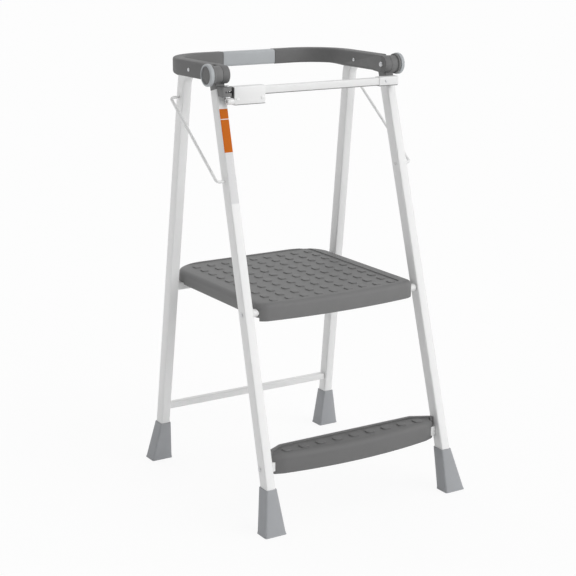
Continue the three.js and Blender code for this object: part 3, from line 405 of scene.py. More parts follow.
class Finish:
    """A material on the Principled shader, with shorthand for the nodes that feed it."""

    def __init__(self, name, roughness, metallic=0.0, coat=0.0, coat_roughness=0.03):
        self.material = bpy.data.materials.new(name)
        self.material.use_nodes = True
        self.nodes = self.material.node_tree.nodes
        self.links = self.material.node_tree.links
        self.shader = self.nodes["Principled BSDF"]
        self.shader.inputs["Roughness"].default_value = roughness
        self.shader.inputs["Metallic"].default_value = metallic
        self.shader.inputs["Coat Weight"].default_value = coat
        self.shader.inputs["Coat Roughness"].default_value = coat_roughness

    def group(self, tree, **values):
        node = self.nodes.new("ShaderNodeGroup")
        node.node_tree = tree
        for label, value in values.items():
            node.inputs[label.replace("_", " ")].default_value = value
        return node

    def mix(self, mask, low, high):
        """Mixes two colours by a mask. Each colour is three numbers or a socket."""
        mix = self.nodes.new("ShaderNodeMix")
        mix.data_type = "RGBA"
        self.links.new(mask, mix.inputs["Factor"])
        for label, color in (("A", low), ("B", high)):
            if isinstance(color, tuple):
                mix.inputs[label].default_value = (*color, 1)
            else:
                self.links.new(color, mix.inputs[label])
        return mix.outputs["Result"]

    def above(self, height):
        """A mask that is 1 above a height."""
        place = self.nodes.new("ShaderNodeTexCoord")
        split = self.nodes.new("ShaderNodeSeparateXYZ")
        test = math_node(self.nodes, "GREATER_THAN", height)
        self.links.new(place.outputs["Object"], split.inputs["Vector"])
        self.links.new(split.outputs["Z"], test.inputs[0])
        return test.outputs[0]

    def color(self, socket):
        self.links.new(socket, self.shader.inputs["Base Color"])

    def roughness(self, mask, low, high):
        spread = self.nodes.new("ShaderNodeMapRange")
        spread.inputs["To Min"].default_value = low
        spread.inputs["To Max"].default_value = high
        self.links.new(mask, spread.inputs["Value"])
        self.links.new(spread.outputs["Result"], self.shader.inputs["Roughness"])

    def bump(self, height, distance, strength=1.0):
        bump = self.nodes.new("ShaderNodeBump")
        bump.inputs["Distance"].default_value = distance
        bump.inputs["Strength"].default_value = strength
        self.links.new(height, bump.inputs["Height"])
        self.links.new(bump.outputs["Normal"], self.shader.inputs["Normal"])


def white_powder_coat():
    """Gloss white coating with a faint orange-peel surface."""
    finish = Finish("white_powder_coat", 0.34, coat=0.35, coat_roughness=0.12)
    grain = finish.group(GRAIN, Pebbles_per_metre=650.0, Waves_per_metre=14.0, Wave_share=0.5)
    rubbed = finish.group(RUBBED, Start=0.56, Full=0.7, Scuffs_per_metre=60.0)
    base = finish.mix(grain.outputs["Tone"], (0.85, 0.852, 0.85), (0.885, 0.887, 0.885))
    finish.color(finish.mix(rubbed.outputs["Mask"], base, (0.8, 0.8, 0.79)))
    finish.roughness(grain.outputs["Tone"], 0.3, 0.4)
    finish.bump(grain.outputs["Height"], 0.00012, 0.35)
    return finish.material


def dark_moulding(name, tone):
    """Dark grey plastic with a fine matt grain, paler along rubbed edges."""
    finish = Finish(name, 0.6)
    grain = finish.group(GRAIN, Pebbles_per_metre=1500.0, Waves_per_metre=30.0, Wave_share=0.15)
    rubbed = finish.group(RUBBED, Start=0.52, Full=0.64, Scuffs_per_metre=120.0)
    base = finish.mix(grain.outputs["Tone"], (0.94 * tone,) * 3, (1.06 * tone,) * 3)
    finish.color(finish.mix(rubbed.outputs["Mask"], base, (1.5 * tone,) * 3))
    finish.roughness(grain.outputs["Tone"], 0.52, 0.68)
    finish.bump(grain.outputs["Height"], 0.00022, 0.5)
    return finish.material


def pale_moulding(name, low, high, roughness, pebbles):
    """Blue-grey plastic or rubber, satin or matt, with a light mottle."""
    finish = Finish(name, roughness)
    grain = finish.group(GRAIN, Pebbles_per_metre=pebbles, Waves_per_metre=45.0, Wave_share=0.25)
    rubbed = finish.group(RUBBED, Start=0.53, Full=0.66, Scuffs_per_metre=100.0)
    base = finish.mix(grain.outputs["Tone"], low, high)
    pale = tuple(1.15 * value for value in high)
    finish.color(finish.mix(rubbed.outputs["Mask"], base, pale))
    finish.roughness(grain.outputs["Tone"], roughness - 0.06, roughness + 0.08)
    finish.bump(grain.outputs["Height"], 0.0002, 0.4)
    return finish.material


def zinc_plate():
    """Bright zinc with soft cloudy spangle and fine turning marks."""
    finish = Finish("zinc_plate", 0.32, metallic=1.0)
    grain = finish.group(GRAIN, Pebbles_per_metre=900.0, Waves_per_metre=180.0, Wave_share=0.6)
    finish.color(finish.mix(grain.outputs["Tone"], (0.66, 0.67, 0.69), (0.83, 0.83, 0.84)))
    finish.roughness(grain.outputs["Tone"], 0.24, 0.42)
    finish.bump(grain.outputs["Height"], 0.00006, 0.4)
    return finish.material


# heights on the leg, in millimetres: the sticker's ends, where its head starts and its pale line
LABEL_RUN = (636, 818)
LABEL_SPLIT, LABEL_LINE, LABEL_LINE_WIDE = 738, 801, 1.6


def sticker():
    """Satin paper sticker: a warm head above a pale field, with a faint fibre mottle."""
    finish = Finish("blank_sticker", 0.5)
    finish.shader.inputs["Specular IOR Level"].default_value = 0.12
    grain = finish.group(GRAIN, Pebbles_per_metre=2200.0, Waves_per_metre=260.0, Wave_share=0.4)
    pale = finish.mix(grain.outputs["Tone"], (0.74, 0.74, 0.745), (0.8, 0.8, 0.805))
    warm = finish.mix(grain.outputs["Tone"], (0.54, 0.125, 0.004), (0.62, 0.15, 0.008))
    head = finish.mix(finish.above(LABEL_SPLIT * MM), pale, warm)
    line = finish.mix(finish.above(LABEL_LINE * MM), head, pale)
    finish.color(finish.mix(finish.above((LABEL_LINE + LABEL_LINE_WIDE) * MM), line, warm))
    finish.roughness(grain.outputs["Tone"], 0.42, 0.55)
    finish.bump(grain.outputs["Height"], 0.00003, 0.4)
    return finish.material


WHITE = white_powder_coat()
DARK = dark_moulding("dark_grey_moulding", 0.186)
# The rail's and the step's copies of the dark grey plastic are darker by tone alone: painted shade,
# where these pieces look darker than the deck.
RAIL_SHADED = dark_moulding("rail_moulding_shaded", 0.155)
STEP_SHADED = dark_moulding("step_moulding_shaded", 0.165)
GRIP = pale_moulding("grip_plastic", (0.44, 0.46, 0.475), (0.475, 0.495, 0.51), 0.45, 2400.0)
RUBBER = pale_moulding("foot_rubber", (0.36, 0.37, 0.386), (0.395, 0.405, 0.422), 0.62, 1800.0)
ZINC = zinc_plate()
LABEL = sticker()


# ---------------------------------------------------------------- leg tubes


def on_front_leg(name, side, low, high, width, depth, shape=None):
    """A block along a front leg between two heights, shaped while it still stands upright."""
    start, end = (at(side * leg_x(z), front_y(z), z) for z in (low, high))
    block = add("cube", name, size=1, scale=(width * MM, depth * MM, (end - start).length))
    if shape:
        with editing(block):
            shape()
    rise = (end - start).normalized()
    across = Vector((1, 0, 0))
    across = (across - across.dot(rise) * rise).normalized()
    turn = Matrix((across, rise.cross(across), rise)).transposed().to_4x4()
    block.data.transform(Matrix.Translation((start + end) / 2) @ turn)
    return block


def make_front_leg():
    """Straight tube with rolled corners, from inside the foot to the hinge fitting."""
    def shape():
        round_edges(TUBE_CORNER * MM, 5, upright)
        round_edges(0.4 * MM, 2, lambda edge: middle(edge).z > 0 and square(edge))

    return on_front_leg("front_tube_right", 1, LEG_FOOT, FRONT_TOP, TUBE.x, TUBE.y, shape)


def make_rear_leg():
    """Tube that rises from the foot, bends forward under the rail and ends at its pivot."""
    lean = math.atan(REAR_LEAN)
    rise = Vector((0, -math.sin(lean), math.cos(lean)))
    foot = Vector((leg_x(LEG_FOOT), rear_y(LEG_FOOT), LEG_FOOT))
    corner = bend_corner - rise * BEND_DROP
    out = Vector((0, leg_pivot.y - corner.y, leg_pivot.z - corner.z)).normalized()
    turn = rise.angle(out)
    reach = BEND_RADIUS * math.tan(turn / 2)
    start = corner - rise * reach
    start.x = leg_x(start.z)
    hub = start + Vector((0, -rise.z, rise.y)) * BEND_RADIUS
    run_out = corner.y - reach * abs(out.y) - (leg_pivot.y - TUBE.y / 2)
    leg = add("plane", "rear_tube_right", size=1)
    leg.data.transform(Matrix.Diagonal((TUBE.x * MM, TUBE.y * MM, 1, 1)))
    with editing(leg):
        choose("VERT", whole)
        bpy.ops.mesh.bevel(offset=TUBE_CORNER * MM, segments=5, affect="VERTICES")
    leg.data.transform(Matrix.Translation(at(*foot)) @ Matrix.Rotation(lean, 4, "X"))
    with editing(leg):
        choose("FACE", whole)
        push((start - foot) * MM)
        sweep_round(turn, at(*hub), (1, 0, 0), 14)
        push(out / abs(out.y) * run_out * MM)
        nose = at(0, leg_pivot.y - TUBE.y / 2, 0).y + 3 * MM
        round_edges(11.5 * MM, 8, lambda edge: crosswise(edge) and middle(edge).y < nose
                    and edge.calc_length() > 10 * MM)
        face_out()
    return leg


# ---------------------------------------------------------------- feet


def make_foot(name, centre, depth, back):
    """Tapered moulded foot: rounded uprights, a toe that flares at the sole and a top collar."""
    high, toe, lip, kick = 88, 7, 2.1, 0.9
    flare = {"out": 19.2, "in": 9.8, "front": FOOT_FLARE_FRONT, "back": back}

    def edges(z):
        share = 1 - max(z - 1.5, 0) / (high - 1.5)
        spread = kick * max(0, 1 - z / toe) ** 2
        middle_x, middle_y = leg_x(z), centre(z)
        side = {key: lip + (value - lip - kick) * share + spread for key, value in flare.items()}
        return (middle_x - TUBE.x / 2 - side["in"], middle_x + TUBE.x / 2 + side["out"],
                middle_y - depth / 2 - side["front"], middle_y + depth / 2 + side["back"])

    foot = add("cube", name, size=1, location=(0.5, 0.5, 0.5))
    with editing(foot):
        choose("EDGE", upright)
        bpy.ops.mesh.subdivide(number_cuts=9)

        def settle(co):
            z = high * co.z ** 2.2
            x0, x1, y0, y1 = edges(z)
            return at(x0 + (x1 - x0) * co.x, y0 + (y1 - y0) * co.y, z) - co

        shift(settle)
        sole, collar = at(0, 0, 0.01).z, at(0, 0, high - 0.01).z
        round_edges(4 * MM, 5, lambda edge: square(edge)
                    and not (under(edge, sole) or over(edge, collar)))
        round_edges(1.1 * MM, 3, lambda edge: sharp(edge, 50) and over(edge, collar))
        round_edges(1.2 * MM, 3, lambda edge: sharp(edge, 50) and under(edge, sole))
        choose("FACE", lambda face: face.normal.z > 0.98 and face.calc_center_median().z > collar
               and face.calc_area() > 1e-4)
        bpy.ops.mesh.inset(thickness=0.7 * MM)
        push((0, 0, -4 * MM))
        choose("FACE", lambda face: face.normal.z < -0.98 and face.calc_area() > 1e-4)
        bpy.ops.mesh.inset(thickness=4 * MM)
        push((0, 0, 2 * MM))
    return foot


# ---------------------------------------------------------------- treads


def make_bump(name, size_x, size_y, height, corner):
    """A low tread bump with steep sides and rounded corners, standing on the floor of a tread."""
    bump = add("plane", name, size=1)
    bump.data.transform(Matrix.Diagonal((size_x, size_y, 1, 1)))
    profile = [(0.3, 0.05), (0.12, 0.34), (0.12, 0.34), (0.3, 0.15), (0.6, 0.08), (1.5, 0.04)]
    with editing(bump):
        choose("VERT", whole)
        bpy.ops.mesh.bevel(offset=corner, segments=3, affect="VERTICES")
        choose("FACE", whole)
        for inward, rise in profile:
            bpy.ops.mesh.inset(thickness=inward * MM)
            bpy.ops.transform.translate(value=(0, 0, rise * height))
    return bump


def lay_out(first, spots):
    """Copies of one piece at each spot, joined into it."""
    copies = [copy_of(first, first.name, Matrix.Translation(spot)) for spot in spots[1:]]
    first.data.transform(Matrix.Translation(spots[0]))
    return join(first, *copies)


def trim(point, normal):
    """Cuts off what lies beyond a plane from the edited piece, and closes it."""
    choose("FACE", whole)
    bpy.ops.mesh.bisect(plane_co=point, plane_no=normal, use_fill=True, clear_outer=True)


def trim_rear(high, rear_cut, inset=0.0):
    """Cuts a block square at the back and slantwise at both rear corners."""
    cut_x, cut_y, _ = rear_cut
    trim(Vector((0, high.y - inset, 0)), Vector((0, 1, 0)))
    for side in (-1, 1):
        normal = Vector((side * cut_y, cut_x, 0)).normalized()
        corner = Vector((side * (high.x - cut_x / 2), high.y - cut_y / 2, 0))
        trim(corner - inset * normal, normal)


def make_tray(name, low, high, front, rear_cut, bow, inset=0.0, cuts=19, roll=0.0):
    """A block with rounded front corners, cut-back rear corners and a bowed front face.

    front is the corners' reach across and their depth, rear_cut is the cut's width, its depth and
    its softening, and roll is the rounding of the top edge at the front and the sides.
    """
    reach, depth = front
    outer = high.copy()
    low, high = low + Vector((inset, inset, 0)), high - Vector((inset, inset, 0))
    tray = add_block(name, low, high + Vector((0, OVER if rear_cut else 0, 0)))
    with editing(tray):
        if rear_cut:
            trim_rear(outer, rear_cut, inset)
            face_out()
            round_edges(rear_cut[2], 7, lambda edge: upright(edge)
                        and middle(edge).y > low.y + MM)
        round_edges(depth, 9, lambda edge: upright(edge) and middle(edge).y < low.y + MM)
        choose("EDGE", lambda edge: crosswise(edge) and middle(edge).y < low.y + TOUCH)
        bpy.ops.mesh.subdivide(number_cuts=cuts)
        if roll:
            round_edges(roll, 9, lambda edge: square(edge) and middle(edge).y < high.y
                        and over(edge, high.z - NEAR))

        def widen(co):
            """Stretches the corners across, and closes up the straight part between them."""
            if co.y > low.y + depth + NEAR:
                return 0, 0, 0
            out = high.x - abs(co.x)
            share = min(out / depth, (high.x - out) / (high.x - depth), 1)
            return -math.copysign(share * (reach - depth), co.x), 0, 0

        shift(widen)

        def bow_front(co):
            share = max(1 - (co.x / (high.x - reach / 2)) ** 2, 0)
            return 0, -bow * share if co.y < low.y + depth + NEAR else 0, 0

        shift(bow_front)
    return tray


# ---------------------------------------------------------------- platform

deck_low, deck_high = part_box("platform")
DECK_BOW = 13.5 * MM
DECK_SKIN = 4 * MM
DECK_TOP = 444 * MM
DECK_CORNER = (22 * MM, 20 * MM)
DECK_REAR_CUT = (50 * MM, 37 * MM, 26 * MM)
DECK_ROLL = 11 * MM
SIDE_SKIRT = 29 * MM
TUBE_SEAT_R = 8.6 * MM
FIELD_HALF = 163 * MM
FIELD_DEPTH = 2.3 * MM
BUMP_PITCH = 36.2 * MM
RIB_HALF = 1.3 * MM


def make_deck():
    """Moulded platform: bowed nosing, rolled top edge, sunk tread field and a ribbed underside."""
    low, high = deck_low.copy(), deck_high.copy()
    low.y += DECK_BOW
    high.z = DECK_TOP
    deck = make_tray("platform_deck", low, high, DECK_CORNER, DECK_REAR_CUT, DECK_BOW)
    with editing(deck):
        round_edges(DECK_ROLL, 8, lambda edge: over(edge, high.z - NEAR) and square(edge))
        round_edges(1.2 * MM, 3, lambda edge: under(edge, low.z + NEAR) and square(edge))
    hollow = make_tray("hollow_cutter", low - Vector((0, 0, 5 * MM)),
                       high - Vector((0, 0, DECK_SKIN)),
                       tuple(value - DECK_SKIN for value in DECK_CORNER), DECK_REAR_CUT,
                       DECK_BOW, DECK_SKIN)
    with editing(hollow):
        round_edges(DECK_ROLL - DECK_SKIN, 2, lambda edge: square(edge)
                    and over(edge, high.z - DECK_SKIN - NEAR))
    tube = pivot_tube_centre()
    skirt = add_block("skirt_cutter", (low.x - OVER, tube.y - OVER, low.z - OVER),
                      (high.x + OVER, high.y + OVER, high.z - SIDE_SKIRT))
    bar_low, bar_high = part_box("rear_support_bar")
    rib_low = bar_high.z + GAP * MM
    notch = add_block("bar_cutter", (low.x - OVER, bar_low.y - OVER, low.z - 5 * MM),
                      (high.x + OVER, bar_high.y + 3 * MM, rib_low))
    seat = add_rod("tube_cutter", TUBE_SEAT_R, (low.x - OVER, tube.y, tube.z),
                   (high.x + OVER, tube.y, tube.z))
    cut(deck, hollow, field_cutter(low, high), skirt, notch)
    rounded(deck, 1.2 * MM, 3, lambda edge: square(edge) and outer_lip(edge, low, high))
    return cut(join(deck, *deck_ribs(rib_low), deck_bumps()), seat)


def outer_lip(edge, low, high):
    """The outer edge of a side skirt's underside."""
    level = high.z - SIDE_SKIRT
    return (all(abs(v.co.z - level) < NEAR for v in edge.verts)
            and (abs(middle(edge).x) > high.x - NEAR or middle(edge).y > high.y - NEAR))


def pivot_tube_centre():
    tube_low, tube_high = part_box("platform_pivot_tube")
    return (tube_low + tube_high) / 2


def field_cutter(low, high):
    """The sunk tread field, with drafted walls."""
    field = add_block("field_cutter", (-FIELD_HALF, low.y + 10.5 * MM, high.z - FIELD_DEPTH),
                      (FIELD_HALF, high.y - 14 * MM, high.z + 5 * MM))
    with editing(field):
        round_edges(16 * MM, 7, upright)
        choose("FACE", lambda face: faces_to(face, (0, 0, 1)))
        bpy.ops.transform.resize(value=(1.014, 1.012, 1))
    return field


def deck_ribs(rib_low):
    """Stiffening ribs under the platform, crossing each other."""
    ribs = []
    top = DECK_TOP - 3 * MM
    front = deck_low.y + DECK_BOW + DECK_SKIN
    for k in (-2, -1, 0, 1, 2):
        x = k * deck_high.x / 3
        ribs.append(add_block(f"rib_long_{k + 2}", (x - RIB_HALF, front, rib_low),
                              (x + RIB_HALF, deck_high.y - DECK_SKIN, top)))
    for k in (1, 2, 3, 4):
        y = front + (deck_high.y - front) * k / 5
        span = deck_high.x - DECK_SKIN
        ribs.append(add_block(f"rib_cross_{k}", (-span, y - RIB_HALF, rib_low),
                              (span, y + RIB_HALF, top)))
    return ribs


def deck_bumps():
    """Nine columns and ten rows of tread bumps over the sunk field."""
    floor = DECK_TOP - FIELD_DEPTH - TOUCH
    first_row = pivot_tube_centre().y + 6 * MM
    spots = [Vector((column * BUMP_PITCH, first_row + row * BUMP_PITCH, floor))
             for row in range(10) for column in range(-4, 5)]
    return lay_out(make_bump("deck_bump", 15.5 * MM, 18.5 * MM, 2.4 * MM, 4 * MM), spots)


# ---------------------------------------------------------------- lower step

step_low, step_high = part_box("lower_step")
STEP_BOW = 18 * MM
STEP_SKIN = 4 * MM
STEP_CORNER = (33 * MM, 16 * MM)
STEP_REAR_CUT = (42 * MM, 22 * MM, 2 * MM)
STEP_ROLL = 13 * MM
STEP_RIM = 2.8 * MM
RIM_WIDE = 8 * MM
RIM_SHRINK = 0.9998  # keeps the rim's sides just inside the step's own
STEP_BUMP_PITCH = 40.6 * MM
STEP_SPARE = 60 * MM  # added at the back, and cut off again by trim_rear
step_floor = step_high.z - STEP_RIM
step_front = step_low.y + STEP_BOW
cuts_start = step_high.y - STEP_REAR_CUT[1]
hidden_bar_low, hidden_bar_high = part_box("lower_step_bar")


def make_step():
    """Moulded lower step: rolled bowed front, a rim along the back and its cut corners, bumps."""
    low = Vector((step_low.x, step_front, step_low.z))
    step = make_tray("step_tread", low, Vector((step_high.x, step_high.y + STEP_SPARE, step_floor)),
                     STEP_CORNER, None, STEP_BOW, cuts=23, roll=STEP_ROLL)
    with editing(step):
        trim_rear(step_high, STEP_REAR_CUT)
        round_edges(2 * MM, 3, lambda edge: sharp(edge, 20) and upright(edge)
                    and middle(edge).y > cuts_start - MM)
        round_edges(1.2 * MM, 3, lambda edge: square(edge) and under(edge, low.z + NEAR))
    hollow = make_tray("step_hollow", low - Vector((0, 0, 5 * MM)),
                       Vector((step_high.x, step_high.y, step_floor - 6 * MM)),
                       tuple(value - STEP_SKIN for value in STEP_CORNER), STEP_REAR_CUT,
                       STEP_BOW, STEP_SKIN, cuts=23)
    rim = make_step_rim()
    room = Vector((OVER, GAP * MM, GAP * MM))
    bar_room = add_block("bar_room",
                         Vector((step_low.x, hidden_bar_low.y, hidden_bar_low.z)) - room,
                         Vector((step_high.x, hidden_bar_high.y, hidden_bar_high.z)) + room)
    cut(step, hollow)
    return join(cut(fuse(step, rim), bar_room), *step_ribs(), step_bumps())


def make_step_rim():
    """Raised rim along the step's sides, its cut corners and its back."""
    rim = add_block("step_rim", (step_low.x, cuts_start - 8 * MM, step_floor - 15 * MM),
                    step_high + Vector((0, OVER, 0)))
    inside = add_block("rim_cutter", (step_low.x - OVER, cuts_start - 20 * MM,
                                      step_floor - 20 * MM),
                       step_high + Vector((OVER, OVER, OVER)))
    rim.data.transform(Matrix.Diagonal((RIM_SHRINK, 1, 1, 1)))
    with editing(rim):
        trim_rear(step_high, STEP_REAR_CUT, 0.04 * MM)
        round_edges(1.6 * MM, 3, lambda edge: sharp(edge, 20) and upright(edge)
                    and middle(edge).y > cuts_start)
    with editing(inside):
        trim_rear(step_high, STEP_REAR_CUT, RIM_WIDE)
        trim(Vector((step_high.x - RIM_WIDE, 0, 0)), Vector((1, 0, 0)))
        trim(Vector((RIM_WIDE - step_high.x, 0, 0)), Vector((-1, 0, 0)))
    return rounded(cut(rim, inside), 0.9 * MM, 3,
                   lambda edge: square(edge) and over(edge, step_high.z - NEAR))


def step_ribs():
    """Ribs under the step, from the hollow's bowed front wall to the back."""
    ribs = []
    flank = step_high.x - STEP_CORNER[0] / 2
    for k in range(-3, 4):
        x = k * step_high.x / 4
        wall = step_front - STEP_BOW * (1 - (x / flank) ** 2) + STEP_SKIN
        ribs.append(add_block(f"step_rib_{k + 3}",
                              (x - RIB_HALF, wall, hidden_bar_high.z + 0.5 * MM),
                              (x + RIB_HALF, step_high.y - 3 * MM, step_floor - 5 * MM)))
    return ribs


def step_bumps():
    """One row of nine bumps along the back of the step."""
    spots = [Vector((k * STEP_BUMP_PITCH, step_high.y - 29 * MM, step_floor - TOUCH))
             for k in range(-4, 5)]
    return lay_out(make_bump("step_bump", 21 * MM, 17 * MM, 2.7 * MM, 6.5 * MM), spots)


# ---------------------------------------------------------------- hinges


def hinge_rod(name, radius, start, end, sides=48):
    """A cylinder on the rail's pivot axis, between two distances from the middle plane."""
    return add_rod(name, radius * MM, at(start, pivot.y, pivot.z), at(end, pivot.y, pivot.z),
                   sides)


def at_end(edge, x):
    """True for an edge that lies in the plane at a distance from the middle plane."""
    return all(abs(v.co.x - x * MM) < TOUCH for v in edge.verts)


def make_fitting():
    """Leg half of the hinge: a neck that follows the tube and a barrel with a raised flange."""
    neck_low, neck_high = FRONT_TOP + GAP, FRONT_TOP + 17

    def shape():
        round_edges(TUBE_CORNER * MM, 5, upright)
        round_edges(0.5 * MM, 2, lambda edge: middle(edge).z < 0 and square(edge))

    neck = on_front_leg("hinge_fitting_body_right", 1, neck_low, neck_high, TUBE.x, TUBE.y, shape)
    barrel = hinge_rod("hinge_barrel", BARREL_R, split + GAP / 2, barrel_end)
    rounded(barrel, 0.7 * MM, 3, lambda edge: at_end(edge, split + GAP / 2))
    flange = hinge_rod("hinge_flange", FLANGE_R, barrel_end - 0.5, flange_end)
    rounded(flange, 1.3 * MM, 4)
    clear = hinge_rod("lug_clearance", BARREL_R + GAP, arm_in - 5, split + GAP / 2)
    behind = add_block("arm_clearance", at(arm_in - 5, pivot.y, pivot.z - BARREL_R - GAP),
                       at(split + GAP / 2, pivot.y + 2 * BARREL_R, pivot.z + BARREL_R + 5))
    return fuse(cut(neck, clear, behind), barrel, flange)


def make_ring():
    """Pale bush round the hinge's outer end, with a soft outer lip and a seat for the cap."""
    back = flange_end + GAP
    ring = hinge_rod("hinge_bush_right", RING_R, back, ring_end, 64)
    with editing(ring):
        round_edges(1.2 * MM, 3, lambda edge: at_end(edge, back))
        round_edges(RING_LIP * MM, 6, lambda edge: at_end(edge, ring_end))
        choose("FACE", lambda face: faces_to(face, (1, 0, 0)) and face.calc_area() > 4e-4)
        bpy.ops.mesh.inset(thickness=(RING_R - RING_LIP - CAP_R - CAP_ROOM) * MM)
        bpy.ops.mesh.inset(thickness=0.7 * MM)
        bpy.ops.transform.translate(value=(-0.8 * MM, 0, 0))
        push((-5 * MM, 0, 0))
    return ring


def make_cap():
    """Dark cap in the bush, crowned a little, with a shallow turned groove."""
    face = ring_end - CAP_SUNK
    groove = ((2.2, 0.05), (0.35, -0.35), (0.7, 0), (0.35, 0.35))
    crown = ((4, 0.12), (4, 0.08))
    cap = hinge_rod("hinge_cover_right", CAP_R, face - 4, face, 64)
    with editing(cap):
        round_edges(1.6 * MM, 5, lambda edge: at_end(edge, face))
        choose("FACE", lambda each: faces_to(each, (1, 0, 0)) and each.calc_area() > 4e-4)
        for inward, out in groove + crown:
            bpy.ops.mesh.inset(thickness=inward * MM)
            bpy.ops.transform.translate(value=(out * MM, 0, 0))
    return cap


def make_dome(name, radius, height, base, facing):
    """A rivet head: a low dome whose flat side is at base, turned towards facing."""
    base, facing = Vector(base), Vector(facing).normalized()
    dome = add_rod(name, radius * MM, base, base + facing * height * MM, 28)
    with editing(dome):
        lift = (base + facing * height * MM).dot(facing)
        round_edges(0.94 * height * MM, 5, lambda edge: square(edge)
                    and all(abs(v.co.dot(facing) - lift) < TOUCH for v in edge.verts))
        choose("FACE", lambda face: faces_to(face, facing) and len(face.verts) > 10)
        for inward in (0.3, 0.3):
            bpy.ops.mesh.inset(thickness=inward * (radius - height) * MM)
            bpy.ops.transform.translate(value=facing * 0.04 * height * MM)
    return dome


def make_pin_head():
    """Domed nut on the inner end of the hinge pin, with the pin's short end showing."""
    head = make_dome("hinge_pin_head_right", PIN_HEAD_R, 2.2,
                     at(arm_in - GAP, pivot.y, pivot.z), (-1, 0, 0))
    end = add_rod("pin_end", 3.6 * MM, at(arm_in - GAP - 1.5, pivot.y, pivot.z),
                  at(arm_in - GAP - 2.6, pivot.y, pivot.z), 28)
    rounded(end, 0.5 * MM, 3)
    return join(head, end)


# ---------------------------------------------------------------- hand rail

RAIL_CORNER = 106
RAIL_REACH = 252.5
RAIL_RISE, ARM_DROP, BAR_DROP = 19, 15.5, 13
BAR_THICK = 24
EASE_TURN = 36  # degrees of the corner over which the arm thins down to the cross part
GRIP_HALF = 64.5
GRIP_SUNK = 0.4
rail_top = pivot.z + RAIL_RISE
rail_rear = pivot.y + RAIL_REACH
arm_front = pivot.y + BARREL_R + 2.5
arm_low, bar_low = pivot.z - ARM_DROP, pivot.z - BAR_DROP
arm_front_y = at(0, arm_front, 0).y


def make_rail():
    """Half of the hand rail: arm, swept corner and cross part, with a lug for the hinge."""
    thick = arm_out - arm_in
    corner = Vector((arm_out - RAIL_CORNER, rail_rear - RAIL_CORNER))
    rail = add("plane", "hand_rail_right", size=1)
    height = rail_top - arm_low
    rail.data.transform(Matrix.Diagonal((thick * MM, height * MM, 1, 1)))
    with editing(rail):
        choose("VERT", whole)
        bpy.ops.mesh.bevel(offset=5 * MM, segments=6, affect="VERTICES")
    rail.data.transform(Matrix.Translation(at(arm_in + thick / 2, arm_front, arm_low + height / 2))
                        @ Matrix.Rotation(math.pi / 2, 4, "X"))
    with editing(rail):
        choose("FACE", whole)
        push((0, (corner.y - arm_front) * MM, 0))
        sweep_round(math.pi / 2, at(corner.x, corner.y, rail_top), (0, 0, 1), 26)
        push(((GRIP_HALF + GAP - corner.x) * MM, 0, 0))
        face_out()

        def ease(co):
            spot = (co - at(0, 0, 0)) / MM
            if spot.y <= corner.y:
                return 0, 0, 0
            out = Vector((max(spot.x - corner.x, 0), spot.y - corner.y))
            depth = RAIL_CORNER - out.length
            share = min(math.degrees(math.atan2(out.y, out.x)) / EASE_TURN, 1)
            share = share * share * (3 - 2 * share)
            slim = (depth * share * (thick - BAR_THICK) / thick) * MM
            away = out.normalized()
            lift = (rail_top - spot.z) / height * share * (bar_low - arm_low) * MM
            return away.x * slim, away.y * slim, lift

        shift(ease)
    room = add_block("leg_pocket", at(pocket[0], leg_pivot.y - 52, arm_low - 5),
                     at(pocket[1], bend_corner.y + TUBE.y / 2 + 2.7, rail_top - 3))
    cut(rail, room)
    with editing(rail):
        round_edges(1.6 * MM, 4, lambda edge: square(edge) and len(edge.link_faces) == 2
                    and all(abs(v.co.y - arm_front_y) < TOUCH for v in edge.verts))
        round_edges(0.6 * MM, 2, lambda edge: square(edge)
                    and at_end(edge, GRIP_HALF + GAP))
    return fuse(rail, make_lug())


def make_lug():
    """The arm's front end: a flat lug with a round nose about the hinge pin."""
    lug = hinge_rod("rail_lug", BARREL_R, arm_in, split - GAP / 2)
    back = arm_front - pivot.y + 8
    with editing(lug):
        def square_off(co):
            spot = (co - at(0, pivot.y, pivot.z)) / MM
            if spot.y < 0.1:
                return 0, 0, 0
            rise = spot.z * (RAIL_RISE if spot.z > 0 else ARM_DROP) / BARREL_R
            return 0, (back - spot.y) * MM, (rise - spot.z) * MM

        shift(square_off)
        face_out()
        round_edges(1.2 * MM, 4, lambda edge: square(edge) and at_end(edge, arm_in)
                    and middle(edge).y < arm_front_y)
        round_edges(0.7 * MM, 3, lambda edge: square(edge) and at_end(edge, split - GAP / 2)
                    and middle(edge).y < arm_front_y)
    return lug


def make_grip():
    """Pale grip on the rail's cross part, nearly flush with the mouldings."""
    low = at(-GRIP_HALF, rail_rear - BAR_THICK + GRIP_SUNK, bar_low + GRIP_SUNK)
    high = at(GRIP_HALF, rail_rear - GRIP_SUNK, rail_top - GRIP_SUNK)
    grip = add_block("hand_grip", low, high)
    with editing(grip):
        round_edges(5 * MM, 6, crosswise)
        round_edges(0.6 * MM, 3)
    return grip


# ---------------------------------------------------------------- stays and crossbars


